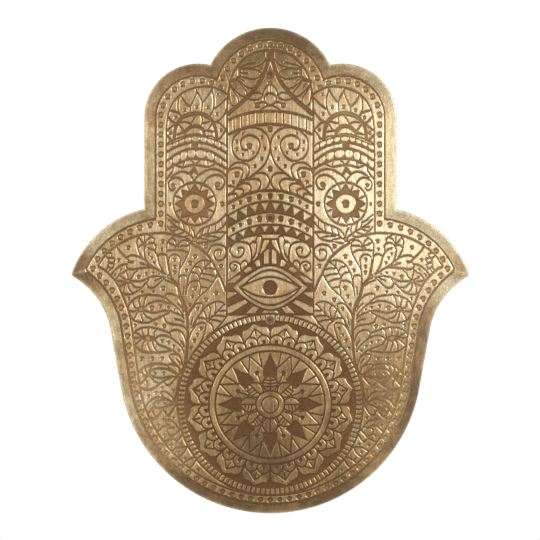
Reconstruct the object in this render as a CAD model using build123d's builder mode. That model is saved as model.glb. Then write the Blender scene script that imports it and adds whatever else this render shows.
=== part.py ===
"""Hamsa hand wall ornament.

One etched brass sheet with a turned-up rim, riveted to a flat bar whose rolled eye carries a hanging ring.
X runs to the viewer's right, -Y towards the viewer and +Z up. The origin is on the ring's swing axis.
"""

import os
from math import cos, radians, sin

from build123d import *

# Outline of the hand, in mm: centres are given from the centre line and below the top of the middle finger
MIDDLE_FINGER_RADIUS = 42.0
OUTER_FINGER_RADIUS = 34.0
OUTER_FINGER_X = 45.2
OUTER_FINGER_DROP = 56.5
THUMB_RADIUS = 63.0
THUMB_X = 65.5
THUMB_DROP = 175.5
THUMB_TIP_RADIUS = 2.6
HOLLOW_RADIUS = 48.2
HOLLOW_DROP = 198.2
PALM_RADIUS = 95.1
PALM_DROP = 210.0
PALM_SIDE_LEAN = 10.2

# Sheet, rim and etching of the hand
SHEET = 1.2
RIM_WIDTH = 6.0
RIM_RISE = 4.0
LIP_WIDTH = 1.8
ETCH_DEPTH = 0.4
LINE_WIDTH = 1.0
BORDER_GAP = 0.4
PANEL_HALF_WIDTH = 27.5
PANEL_BOTTOM_DROP = 180.0

# The etched eye and the mandala under it
EYE_DROP = 163.2
EYE_HALF_WIDTH = 23.0
EYE_HALF_HEIGHT = 13.8
EYE_LINE = 2.4
PUPIL_RADIUS = 4.6
MANDALA_DROP = 237.3
MANDALA_RADIUS = 58.0
BEAD_BAND = 3.8
PETAL_BAND = 14.5
INNER_BAND = 4.0
MANDALA_HEART = 8.8

# Rivets through the sheet and the bar
RIVET_DROPS = {"upper": 28.7, "middle": 119.4, "lower": 183.7}
RIVET_SHANK_RADIUS = 1.6
RIVET_HEAD_RADIUS = 2.6
RIVET_HEAD_DEPTH = 0.8
RIVET_TAIL_RADIUS = 3.0
RIVET_TAIL_HEIGHT = 1.2
RIVET_TAIL_ROUND = 0.8
RIVET_CLEARANCE = 0.05

# Bar behind the hand, with the ring in its rolled eye
BAR_WIDTH = 10.0
BAR_THICKNESS = 1.2
BAR_TAIL = 7.0
BAR_CORNER = 3.0
RING_WIRE_RADIUS = 1.0
RING_CLEARANCE = 0.3
RING_SIDE_GAP = 2.0
RING_CORNER = 4.0
RING_DEPTH = 9.0
RING_TO_RIVET = 2.0

# Bumpers on the back
BUMPER_RADIUS = 7.0
BUMPER_ROUND = 1.2
BUMPER_WALL_GAP = 0.4
BUMPER_FINGER_DROP = 28.0
BUMPER_PALM_INSET = 27.0
BUMPER_PALM_TURN = 50.0

# The bar's rolled eye sets how far the sheet stands in front of the swing axis
eye_bore = RING_WIRE_RADIUS + RING_CLEARANCE
eye_radius = eye_bore + BAR_THICKNESS
back_ahead = eye_radius
face_ahead = back_ahead + SHEET
rim_ahead = face_ahead + RIM_RISE
wall_behind = eye_radius + BUMPER_WALL_GAP

# The ring hangs clear above the upper rivet's tail
axis_drop = RIVET_DROPS["upper"] - RIVET_TAIL_RADIUS - RING_TO_RIVET - RING_WIRE_RADIUS - RING_DEPTH

# The front face starts where the rim's slope, one sheet thick, has come down to it
rim_slope = RIM_WIDTH / (SHEET + RIM_RISE)
rim_foot = LIP_WIDTH + RIM_RISE * rim_slope
border_line = rim_foot + BORDER_GAP


def height(drop):
    """Height of a point that lies drop below the top of the middle finger."""
    return axis_drop - drop


def ahead(distance):
    """Plane parallel to the sheet, distance in front of the swing axis."""
    return Plane.XZ.offset(distance)


def crossing(centre_a, radius_a, centre_b, radius_b):
    """Upper point where two circles cross."""
    across = centre_b - centre_a
    along = (across.length**2 + radius_a**2 - radius_b**2) / (2 * across.length)
    rise = (radius_a**2 - along**2) ** 0.5
    unit = across.normalized()
    return centre_a + unit * along + Vector(-unit.Y, unit.X) * rise


def round_arc(centre, start, end):
    """Arc about centre, the short way from start to end."""
    radius = (start - centre).length
    middle = ((start - centre).normalized() + (end - centre).normalized()).normalized()
    return ThreePointArc(start, centre + middle * radius, end)


def hand_face(inset, mode=Mode.ADD):
    """Face bounded by the hand's outline moved inwards by inset, symmetric about the centre line."""
    middle = Vector(0, height(MIDDLE_FINGER_RADIUS))
    outer = Vector(OUTER_FINGER_X, height(OUTER_FINGER_DROP))
    thumb = Vector(THUMB_X, height(THUMB_DROP))
    palm = Vector(0, height(PALM_DROP))

    # The side of the palm leans outwards, touching the palm's circle below and the hollow's above
    lean = radians(PALM_SIDE_LEAN)
    outwards = Vector(cos(lean), -sin(lean))
    hollow_rise = PALM_DROP - HOLLOW_DROP
    hollow_x = (PALM_RADIUS + HOLLOW_RADIUS + hollow_rise * sin(lean)) / cos(lean)
    hollow = Vector(hollow_x, height(HOLLOW_DROP))

    middle_radius = MIDDLE_FINGER_RADIUS - inset
    outer_radius = OUTER_FINGER_RADIUS - inset
    thumb_radius = THUMB_RADIUS - inset
    hollow_radius = HOLLOW_RADIUS + inset
    palm_radius = PALM_RADIUS - inset

    side_x = outer.X + outer_radius
    thumb_rise = (thumb_radius**2 - (side_x - thumb.X) ** 2) ** 0.5
    top = Vector(0, middle.Y + middle_radius)
    finger_notch = crossing(middle, middle_radius, outer, outer_radius)
    finger_side = Vector(side_x, outer.Y)
    thumb_notch = Vector(side_x, thumb.Y + thumb_rise)
    thumb_tip = crossing(thumb, thumb_radius, hollow, hollow_radius)
    hollow_end = hollow - outwards * hollow_radius
    palm_start = palm + outwards * palm_radius
    bottom = Vector(0, palm.Y - palm_radius)

    with BuildLine() as outline:
        round_arc(middle, top, finger_notch)
        round_arc(outer, finger_notch, finger_side)
        Line(finger_side, thumb_notch)
        round_arc(thumb, thumb_notch, thumb_tip)
        round_arc(hollow, thumb_tip, hollow_end)
        Line(hollow_end, palm_start)
        round_arc(palm, palm_start, bottom)
        mirror(about=Plane.YZ)
    return make_face(outline.edges(), mode=mode)


def rim_section(inset):
    """Outline face with its two thumb tips rounded, for one level of the rim."""
    section = hand_face(inset)
    by_width = section.vertices().sort_by(Axis.X)
    fillet([by_width[0], by_width[-1]], THUMB_TIP_RADIUS)


def panel(half_width, bottom_drop, mode=Mode.ADD):
    """Middle panel, round at the top about the middle finger's centre and square at the bottom."""
    shoulder = height(MIDDLE_FINGER_RADIUS)
    bottom = height(bottom_drop)
    with BuildLine() as frame:
        ThreePointArc((-half_width, shoulder), (0, shoulder + half_width), (half_width, shoulder))
        Polyline((half_width, shoulder), (half_width, bottom), (-half_width, bottom), (-half_width, shoulder))
    make_face(frame.edges(), mode=mode)


def almond(half_width, half_height, mode=Mode.ADD):
    """Eye shape of two arcs about the middle of the eye."""
    centre = height(EYE_DROP)
    left = (-half_width, centre)
    right = (half_width, centre)
    with BuildLine() as lids:
        ThreePointArc(left, (0, centre + half_height), right)
        ThreePointArc(right, (0, centre - half_height), left)
    make_face(lids.edges(), mode=mode)


def annulus(centre_drop, outside, width):
    """Flat ring about a point of the centre line."""
    with Locations((0, height(centre_drop))):
        Circle(outside)
        Circle(outside - width, mode=Mode.SUBTRACT)


# Hand: a shallow tray of even sheet, with its rim turned up towards the viewer
with BuildPart() as hand_plate:
    with BuildSketch(ahead(back_ahead)):
        rim_section(RIM_WIDTH)
    with BuildSketch(ahead(rim_ahead)):
        rim_section(0)
    loft(ruled=True)
    with BuildSketch(ahead(face_ahead)):
        rim_section(rim_foot)
    with BuildSketch(ahead(rim_ahead)):
        rim_section(LIP_WIDTH)
    loft(ruled=True, mode=Mode.SUBTRACT)

    # Etched border line that follows the outline
    with BuildSketch(ahead(face_ahead)):
        hand_face(border_line)
        hand_face(border_line + LINE_WIDTH, mode=Mode.SUBTRACT)
    extrude(amount=-ETCH_DEPTH, mode=Mode.SUBTRACT)

    # Etched line round the middle panel
    with BuildSketch(ahead(face_ahead)):
        panel(PANEL_HALF_WIDTH, PANEL_BOTTOM_DROP)
        panel(PANEL_HALF_WIDTH - LINE_WIDTH, PANEL_BOTTOM_DROP - LINE_WIDTH, mode=Mode.SUBTRACT)
    extrude(amount=-ETCH_DEPTH, mode=Mode.SUBTRACT)

    # Etched eye
    with BuildSketch(ahead(face_ahead)):
        almond(EYE_HALF_WIDTH, EYE_HALF_HEIGHT)
        almond(EYE_HALF_WIDTH - 2 * EYE_LINE, EYE_HALF_HEIGHT - EYE_LINE, mode=Mode.SUBTRACT)
        with Locations((0, height(EYE_DROP))):
            Circle(PUPIL_RADIUS)
    extrude(amount=-ETCH_DEPTH, mode=Mode.SUBTRACT)

    # Etched rings of the mandala: both edges of its beads, its petal ground, its inner ring and its heart
    petal_radius = MANDALA_RADIUS - BEAD_BAND - LINE_WIDTH
    inner_radius = petal_radius - PETAL_BAND
    heart_ring = inner_radius - INNER_BAND
    for outside in (MANDALA_RADIUS + LINE_WIDTH, petal_radius, inner_radius, heart_ring, MANDALA_HEART):
        with BuildSketch(ahead(face_ahead)):
            annulus(MANDALA_DROP, outside, LINE_WIDTH)
        extrude(amount=-ETCH_DEPTH, mode=Mode.SUBTRACT)

    # Countersunk holes for the rivets
    for drop in RIVET_DROPS.values():
        with BuildSketch(ahead(face_ahead)):
            with Locations((0, height(drop))):
                Circle(RIVET_HEAD_RADIUS + RIVET_CLEARANCE)
        with BuildSketch(ahead(face_ahead - RIVET_HEAD_DEPTH)):
            with Locations((0, height(drop))):
                Circle(RIVET_SHANK_RADIUS + RIVET_CLEARANCE)
        loft(mode=Mode.SUBTRACT)
        with BuildSketch(ahead(face_ahead)):
            with Locations((0, height(drop))):
                Circle(RIVET_SHANK_RADIUS + RIVET_CLEARANCE)
        extrude(amount=-SHEET, mode=Mode.SUBTRACT)

# Bar: flat strip against the back of the hand, its top rolled backwards round the ring's straight side
bar_bottom = height(RIVET_DROPS["lower"]) - BAR_TAIL
with BuildPart() as back_bar:
    with BuildSketch(Plane.YZ):
        Circle(eye_radius)
        Rectangle(eye_radius, eye_radius, align=(Align.MAX, Align.MAX), mode=Mode.SUBTRACT)
        with Locations((-back_ahead, 0)):
            Rectangle(BAR_THICKNESS, -bar_bottom, align=(Align.MIN, Align.MAX))
        Circle(eye_bore, mode=Mode.SUBTRACT)
    extrude(amount=BAR_WIDTH / 2, both=True)
    lower_corners = back_bar.edges().filter_by(Axis.Y).group_by(Axis.Z)[0]
    fillet(lower_corners, min(BAR_CORNER, BAR_WIDTH / 2.5))
    with BuildSketch(ahead(back_ahead)):
        with Locations(*[(0, height(drop)) for drop in RIVET_DROPS.values()]):
            Circle(RIVET_SHANK_RADIUS + RIVET_CLEARANCE)
    extrude(amount=-BAR_THICKNESS, mode=Mode.SUBTRACT)

# Rivets: flush countersunk head in front, rounded tail behind the bar
rivets = {}
for name, drop in RIVET_DROPS.items():
    middle = height(drop)
    with BuildPart() as rivet:
        with BuildSketch(ahead(face_ahead)):
            with Locations((0, middle)):
                Circle(RIVET_HEAD_RADIUS)
        with BuildSketch(ahead(face_ahead - RIVET_HEAD_DEPTH)):
            with Locations((0, middle)):
                Circle(RIVET_SHANK_RADIUS)
        loft()
        with BuildSketch(ahead(face_ahead - RIVET_HEAD_DEPTH)):
            with Locations((0, middle)):
                Circle(RIVET_SHANK_RADIUS)
        extrude(amount=-(SHEET + BAR_THICKNESS - RIVET_HEAD_DEPTH))
        with BuildSketch(ahead(back_ahead - BAR_THICKNESS)):
            with Locations((0, middle)):
                Circle(RIVET_TAIL_RADIUS)
        extrude(amount=-RIVET_TAIL_HEIGHT)
        tail_edge = rivet.edges().filter_by(GeomType.CIRCLE).sort_by(Axis.Y)[-1]
        fillet(tail_edge, RIVET_TAIL_ROUND)
    rivets[name] = rivet

# Ring: one bent wire loop, its straight side lying in the bar's eye
ring_width = BAR_WIDTH + 2 * (RING_SIDE_GAP + RING_CORNER)
with BuildPart() as hanging_ring:
    with BuildLine(Plane.XZ) as loop:
        FilletPolyline(
            (ring_width / 2, 0),
            (ring_width / 2, -RING_DEPTH),
            (-ring_width / 2, -RING_DEPTH),
            (-ring_width / 2, 0),
            radius=RING_CORNER,
            close=True,
        )
    with BuildSketch(Plane.YZ):
        Circle(RING_WIRE_RADIUS)
    sweep(path=loop.wires()[0])

# Bumpers: rubber discs between the back of the hand and the wall, rounded on the wall side.
# The upper pair sits under the outer fingers and the lower pair inside the palm's edge.
palm_reach = PALM_RADIUS - BUMPER_PALM_INSET
palm_turn = radians(BUMPER_PALM_TURN)
bumper_places = {
    "upper": (OUTER_FINGER_X, OUTER_FINGER_DROP + BUMPER_FINGER_DROP),
    "lower": (palm_reach * sin(palm_turn), PALM_DROP + palm_reach * cos(palm_turn)),
}
bumpers = {}
for level, (bumper_x, drop) in bumper_places.items():
    for side, sign in (("left", -1), ("right", 1)):
        with BuildPart() as bumper:
            with BuildSketch(ahead(back_ahead)):
                with Locations((sign * bumper_x, height(drop))):
                    Circle(BUMPER_RADIUS)
            extrude(amount=-(back_ahead + wall_behind))
            wall_edge = bumper.edges().filter_by(GeomType.CIRCLE).sort_by(Axis.Y)[-1]
            fillet(wall_edge, BUMPER_ROUND)
        bumpers[f"bumper_{level}_{side}"] = bumper

nodes = {"hand_plate": hand_plate, "back_bar": back_bar, "hanging_ring": hanging_ring}
nodes |= {f"rivet_{name}": rivet for name, rivet in rivets.items()}
nodes |= bumpers

os.makedirs("parts", exist_ok=True)
for name, piece in nodes.items():
    piece.part.label = name
    export_step(piece.part, f"parts/{name}.step")
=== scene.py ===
"""Antique-brass hamsa hand: the etched sheet with its rim, hanger and bumpers, in soft studio light."""

import math

import bpy
import numpy as np
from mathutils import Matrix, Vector
from mathutils.geometry import delaunay_2d_cdt


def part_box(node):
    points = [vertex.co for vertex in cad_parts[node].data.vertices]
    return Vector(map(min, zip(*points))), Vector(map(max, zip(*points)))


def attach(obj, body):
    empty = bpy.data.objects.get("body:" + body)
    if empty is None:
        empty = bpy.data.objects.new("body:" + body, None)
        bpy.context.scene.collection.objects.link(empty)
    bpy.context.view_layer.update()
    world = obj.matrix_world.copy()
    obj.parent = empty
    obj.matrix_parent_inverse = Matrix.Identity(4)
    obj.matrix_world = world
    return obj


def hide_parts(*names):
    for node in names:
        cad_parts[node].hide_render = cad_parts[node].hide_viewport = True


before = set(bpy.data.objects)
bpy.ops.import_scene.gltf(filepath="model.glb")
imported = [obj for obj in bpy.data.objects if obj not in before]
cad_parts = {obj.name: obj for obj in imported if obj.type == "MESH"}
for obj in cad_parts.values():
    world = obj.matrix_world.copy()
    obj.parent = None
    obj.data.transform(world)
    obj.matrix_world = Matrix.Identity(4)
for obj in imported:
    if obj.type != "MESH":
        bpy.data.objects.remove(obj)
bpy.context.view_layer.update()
plate_low, plate_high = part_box("hand_plate")

# The pattern is written in mm: x from the centre line, drop below the top of the middle finger
MM = 0.001
TOP = plate_high.z
BACK_Y = plate_high.y
EDGE_Y = plate_low.y
FACE_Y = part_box("rivet_upper")[0].y

# Outline of the hand, its round parts as x, drop and radius
MIDDLE_FINGER = (0.0, 42.0, 42.0)
OUTER_FINGER = (45.2, 56.5, 34.0)
THUMB = (65.5, 175.5, 63.0)
PALM = (0.0, 210.0, 95.1)
HOLLOW_DROP = 198.2
HOLLOW_RADIUS = 48.2
PALM_SIDE_LEAN = 10.2
THUMB_TIP_RADIUS = 2.6

# Points on each stretch of half the outline, and its corners: top, finger notch, thumb notch, tip, bottom
RUNS = (30, 44, 10, 48, 8, 28, 6, 80)
CORNERS = (0, 30, 84, 136, 254)

# Finishes of the etched sheet, in the order of its materials
FACE, GROUND, RIM, BACK, EDGE, FLOOR, LIP = range(7)

# Rim: insets of its foot in front and behind, and its narrowing towards the palm's bottom
RIM_FOOT = 6.3
RIM_BACK = 6.0
BOTTOM_NARROWING = 0.22
NARROWING_DROP = 160
NARROWING_LENGTH = 85
# Its lip from the front slope to the back slope: inset, distance below the crest, finish
LIP_FRONT = (1.5, 0.25)
LIP_REAR = (0.4, 1.5)
LIP_SECTIONS = (
    (1.2, 0.12, RIM), (0.8, 0.0, RIM), (0.3, 0.1, LIP), (0.0, 0.5, LIP), (0.06, 1.05, BACK),
    (*LIP_REAR, BACK),
)
# Where the two slopes have a section, as shares of their width
FRONT_SLOPE = (0.06, 0.2, 0.4, 0.6, 0.8, 0.95)
BACK_SLOPE = (0.2, 0.5, 0.8, 1.0)

# Etched lines: insets of the border, half width of the middle panel, and line widths
BORDER_LINE = 7.1
BORDER_DOTS = 10.3
BORDER_DOT_RADIUS = 1.75
BORDER_DOTS_BETWEEN = (7, 19, 8, 33)
INNER_LINE = 13.8
INNER_LINE_DROP = 172
PANEL = 27.2
HAIR = 0.8
FINE = 0.88
LEAF = 0.98
LINE = 1.08
FRAME = 1.4
BOLD = 1.5
# Slope of an etched edge: distance into the metal, sink below the face
ETCH_PROFILE = ((0.55, 0.0), (0.0, 0.25), (-0.25, 0.5), (-0.7, 0.66))
# Dots smaller than this have a lighter floor
BOWL = 2.0

RIVET_DROPS = (28.7, 119.4, 183.7)
RIVET_HEAD = 2.6
RIVET_COLLAR = 0.3
RIVET_GAP = 0.05

MANDALA_DROP = 237.0
MANDALA_FLATNESS = 0.977
BEADS = 116
PETALS = 16
STAR_POINTS = 8

# Grid on which the pattern is drawn before it is traced
STEP = 0.2
GRID_WIDTH = 127.0
GRID_DROP = 307.0
FAR = 50.0
MARGIN = 1.0
TRACE_SLACK = 0.03
SMALLEST_LOOP = 0.12
FEWEST_POINTS = 9
NUDGE = 1e-6
TINY = 1e-9

# Surface layout: width in sheet widths, and the margin round it
LAYOUT_SPAN = 2.1
LAYOUT_MARGIN = 0.01

# Brass from clean to deeply tarnished, golden on the back, and the brown ground of the etching
BRIGHT = (234, 214, 172)
BRASS = (210, 190, 151)
TARNISH = (171, 140, 93)
DEEP = (122, 96, 64)
# Rubbed edges: real wear, made paler as a painted highlight for the whitish glints along the lines
RUBBED_AND_GLINT = (216, 199, 167)
RIVET = (138, 111, 78)
SOOT = (86, 60, 38)
GOLD = (226, 198, 141)
OLD_GOLD = (204, 174, 117)
GROUND_COLOURS = ((170, 138, 96), (134, 101, 66), (103, 74, 46))
BOWL_COLOURS = ((186, 150, 104), (168, 133, 90), (97, 70, 43))
RUBBER_COLOURS = ((52, 50, 47), (74, 71, 67))
# Part of a noise's range that carries its change
NOISE = (0.3, 0.7)
# Brass: its least tarnish, what clouds add, its grain's dark and light, and how tarnish changes its roughness
LEAST_TARNISH = 0.06
CLOUDINESS = 0.42
GRAIN_DARK = 0.26
GRAIN_LIGHT = 0.1
POLISH = -0.05
DULLNESS = 0.08
# Where tarnish gathers or is rubbed off, and where light and shade are painted on the face, its edges and the
# rim: x, drop, half width, half height, depth
# Face: real tarnish on the mandala, the top and about the rivets, with painted light and shade that follow
# the lamps
FACE_TARNISH_AND_PAINTED_LIGHT = (
    (0, 238, 85, 84, 0.75),
    (0, 285, 100, 45, 0.25),
    (0, 15, 90, 70, 0.52),
    (0, 95, 50, 50, 0.34),
    (0, 165, 45, 40, 0.2),
    # painted pool of light over the right finger and thumb
    (72, 118, 75, 85, -0.36),
    (75, 265, 65, 70, 0.25),
    (78, 212, 45, 55, 0.36),
    (-80, 130, 70, 150, 0.2),
    (-50, 153, 45, 40, 0.3),
    (62, 198, 42, 40, 0.24),
    (50, 66, 30, 32, -0.25),
    (-66, 95, 24, 40, -0.18),
    (30, 160, 26, 50, 0.2),
    (-30, 150, 24, 36, 0.25),
    (74, 168, 42, 40, 0.15),
    (-28, 48, 20, 24, 0.25),
    (0, 18, 26, 22, 0.15),
    (0, 240, 50, 50, -0.15),
    *((0, drop, 6.5, 6.5, 0.5) for drop in RIVET_DROPS),
)
# Edges: tarnish, and painted shade that dims their glints, most on the mandala
EDGE_TARNISH_AND_PAINTED_LIGHT = (
    (0, 240, 85, 82, 0.5),
    (0, 285, 100, 45, 0.3),
    (0, 15, 90, 70, 0.3),
    (0, 100, 55, 80, 0.3),
    # painted light on the edges of the right finger and thumb
    (72, 118, 75, 85, -0.36),
    (78, 215, 45, 50, 0.25),
    (-80, 130, 70, 150, 0.25),
    (-70, 240, 70, 80, 0.25),
    (70, 255, 50, 60, 0.2),
)
GROUND_PATCHES = (
    (0, 60, 60, 130, 0.35),
    (0, 150, 55, 90, 0.5),
    (0, 238, 90, 90, 1.3),
    (-80, 245, 50, 75, -0.55),
    (80, 245, 50, 70, -0.4),
    (105, 160, 50, 45, -0.2),
    (50, 60, 30, 40, -0.25),
    (-68, 268, 34, 40, -0.5),
)
# Rim: dark stains at the thumb tips, and painted light and shade that even out its sides, top and bottom
RIM_STAINS_AND_PAINTED_LIGHT = (
    (112, 140, 40, 40, -0.2),
    (122, 151, 12, 12, 0.35),
    (102, 185, 18, 35, 0.35),
    (-121, 152, 26, 24, 0.6),
    (-98, 132, 34, 26, -0.4),
    (0, 0, 90, 34, 0.3),
    (36, 56, 14, 18, 0.6),
    (-56, 28, 36, 30, 0.4),
    (-80, 100, 40, 100, 0.15),
    (20, 302, 150, 60, 0.36),
    (90, 240, 40, 75, 0.45),
    (-66, 285, 55, 45, 0.45),
)
RIVET_PATCHES = tuple((0, drop, 3.6, 3.6, 0.7) for drop in RIVET_DROPS)

# Floor, and the soft lamps: name, place, aim, size, power
FLOOR_X = (-1.2, 1.2)
FLOOR_Y = (-0.9, 1.1)
FLOOR_LEVEL = -0.46
LAMPS = (
    ("key", (0.115, -0.45, -0.085), (0.085, 0, -0.1), (0.24, 0.24), 0.44),
    ("fill", (-0.16, -0.45, -0.13), (-0.12, 0, -0.14), (0.18, 0.24), 0.22),
    ("glint", (0.62, -0.6, 0.12), (0, 0, -0.13), (0.3, 0.3), 3.2),
    ("left", (-0.75, -0.5, 0.1), (0, 0, -0.08), (0.3, 0.4), 1.8),
)
# Light of the room: its level, its growth to the sides, its lean to one side, and its loss above and below
ROOM_LEVEL = 0.43
ROOM_SIDES = 0.4
ROOM_LEAN = 0.3
ROOM_ENDS = 0.1
# Where reflections turn white behind the hand
WHITE_BEHIND = (-0.15, 0.35)

# Camera: sensor in mm, then metres
SENSOR = 36
VIEW_DISTANCE = 1.5
VIEW_WIDTH = 0.3402
VIEW_X = -0.00013
VIEW_DROP = 0.1522


def smooth(points, closed=False, parts=6):
    """Soft curve through the points."""
    p = np.array(points, float)
    if len(p) < 3:
        return p
    if closed:
        p = np.concatenate([p[-2:], p, p[:3]])
    gaps = np.sqrt(np.linalg.norm(np.diff(p, axis=0), axis=1))[:, None]
    slopes = np.diff(p, axis=0) / gaps
    tangents = np.empty_like(p)
    tangents[1:-1] = (slopes[:-1] * gaps[1:] + slopes[1:] * gaps[:-1]) / (gaps[1:] + gaps[:-1])
    tangents[0] = slopes[0]
    tangents[-1] = slopes[-1]
    curve = []
    for i in range(2 if closed else 0, len(p) - (3 if closed else 1)):
        for t in np.linspace(0, 1, parts, endpoint=False):
            a = (1 + 2 * t) * (1 - t) ** 2
            b = t * (1 - t) ** 2
            c = t * t * (3 - 2 * t)
            d = t * t * (t - 1)
            curve.append(a * p[i] + c * p[i + 1] + gaps[i] * (b * tangents[i] + d * tangents[i + 1]))
    if not closed:
        curve.append(p[-1])
    return np.array(curve)


def circle(centre, radius, count=72):
    """Closed circle."""
    turn = np.radians(np.linspace(0, 360, count + 1)[:-1])
    return np.stack([centre[0] + radius * np.sin(turn), centre[1] - radius * np.cos(turn)], axis=1)


def turned(points, degrees, centre):
    """Points given as distance out and to the right on a spoke of centre, degrees clockwise from up."""
    turn = math.radians(degrees)
    out = np.array([math.sin(turn), -math.cos(turn)])
    right = np.array([math.cos(turn), math.sin(turn)])
    return np.array([np.array(centre) + u * out + v * right for u, v in points])


def to_segment(x, d, a, b):
    """Distance of places to the segment from a to b."""
    along = b - a
    share = ((x - a[0]) * along[0] + (d - a[1]) * along[1]) / max(float(along @ along), TINY)
    share = np.clip(share, 0, 1)
    return np.hypot(x - a[0] - share * along[0], d - a[1] - share * along[1])


def is_inside(x, d, loop):
    """Which of the places lie inside a closed loop."""
    inside = np.zeros(np.broadcast(x, d).shape, dtype=bool)
    for a, b in zip(loop, np.roll(loop, -1, axis=0)):
        if a[1] != b[1]:
            spans = (a[1] > d) != (b[1] > d)
            inside ^= spans & (x < a[0] + (d - a[1]) * (b[0] - a[0]) / (b[1] - a[1]))
    return inside


def to_area(x, d, loop):
    """Distance of places to a closed loop, below zero inside it."""
    nearest = np.full(np.broadcast(x, d).shape, FAR, dtype=np.float32)
    for a, b in zip(loop, np.roll(loop, -1, axis=0)):
        nearest = np.minimum(nearest, to_segment(x, d, a, b))
    return np.where(is_inside(x, d, loop), -nearest, nearest)


class Relief:
    """Right half of the face as distances in mm, above zero where metal stands, below where it is etched."""

    def __init__(self):
        self.x = np.arange(0, GRID_WIDTH, STEP, dtype=np.float32)
        self.d = np.arange(0, GRID_DROP, STEP, dtype=np.float32)
        self.field = np.full((len(self.d), len(self.x)), FAR, dtype=np.float32)
        self.bowls = np.zeros_like(self.field)

    def window(self, points, reach=0.0):
        """Part of the grid within reach of the points, with its coordinates."""
        reach += MARGIN
        first = np.maximum((np.min(points, axis=0) - reach) / STEP, 0).astype(int)
        last = np.maximum((np.max(points, axis=0) + reach) / STEP + 2, 0).astype(int)
        part = slice(first[1], last[1]), slice(first[0], last[0])
        return part, self.x[part[1]][None, :], self.d[part[0]][:, None]

    def etch(self, part, distance):
        """Etches where the distance is below zero."""
        self.field[part] = np.minimum(self.field[part], distance)

    def leave(self, part, distance):
        """Leaves metal standing where the distance is below zero."""
        self.field[part] = np.maximum(self.field[part], -distance)

    def straight(self, points, width=LINE):
        """Etches straight runs from point to point."""
        points = np.array(points, float)
        for a, b in zip(points[:-1], points[1:]):
            part, x, d = self.window([a, b], width / 2)
            self.etch(part, to_segment(x, d, a, b) - width / 2)

    def line(self, points, width=LINE):
        """Etches a line through the points, softly curved where there are more than two."""
        self.straight(smooth(points), width)

    def lines(self, width, *runs):
        """Etches lines of one width."""
        for run in runs:
            self.line(run, width)

    def loop(self, points, width=LINE):
        """Etches a closed line from point to point."""
        self.straight([*points, points[0]], width)

    def hollow(self, points):
        """Etches a whole area."""
        points = np.array(points, float)
        part, x, d = self.window(points)
        self.etch(part, to_area(x, d, points))

    def stand(self, points):
        """Leaves an area of metal standing."""
        points = np.array(points, float)
        part, x, d = self.window(points)
        self.leave(part, to_area(x, d, points))

    def dot(self, x, drop, radius):
        """Etches a round dot."""
        part, across, down = self.window([(x, drop)], radius)
        away = np.hypot(across - x, down - drop)
        self.etch(part, away - radius)
        if radius < BOWL:
            self.bowls[part][away < radius] = 1

    def dots(self, radius, *places):
        """Etches dots of one size."""
        for x, drop in places:
            self.dot(x, drop, radius)

    def boss(self, x, drop, radius):
        """Leaves a disc of metal standing."""
        part, across, down = self.window([(x, drop)], radius)
        self.leave(part, np.hypot(across - x, down - drop) - radius)

    def whole(self):
        """Field of the whole face, and where it has small dots."""
        return [np.concatenate([half[:, :0:-1], half], axis=1) for half in (self.field, self.bowls)]


def crossing(a, radius_a, b, radius_b, side):
    """One of the two points where circles about a and b cross."""
    a = np.array(a)
    across = np.array(b) - a
    span = np.linalg.norm(across)
    along = (span**2 + radius_a**2 - radius_b**2) / (2 * span)
    rise = math.sqrt(max(radius_a**2 - along**2, 0))
    unit = across / span
    return a + unit * along + np.array([-unit[1], unit[0]]) * rise * side


def round_run(centre, start, end, count):
    """Points on the short arc about centre from start towards end, without the end."""
    centre = np.array(centre)
    first = math.atan2(start[1] - centre[1], start[0] - centre[0])
    last = math.atan2(end[1] - centre[1], end[0] - centre[0])
    sweep = (last - first + math.pi) % (2 * math.pi) - math.pi
    turn = first + sweep * np.arange(count) / count
    radius = np.linalg.norm(np.array(start) - centre)
    return np.stack([centre[0] + radius * np.cos(turn), centre[1] + radius * np.sin(turn)], axis=1)


def half_outline(inset):
    """Right half of the outline moved inwards by inset, which shrinks a little towards the palm's bottom."""
    edge = even_outline(0.0)
    line = even_outline(inset)
    ease = np.clip((line[:, 1] - NARROWING_DROP) / NARROWING_LENGTH, 0, 1)[:, None]
    return line + (edge - line) * BOTTOM_NARROWING * ease * ease * (3 - 2 * ease)


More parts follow.
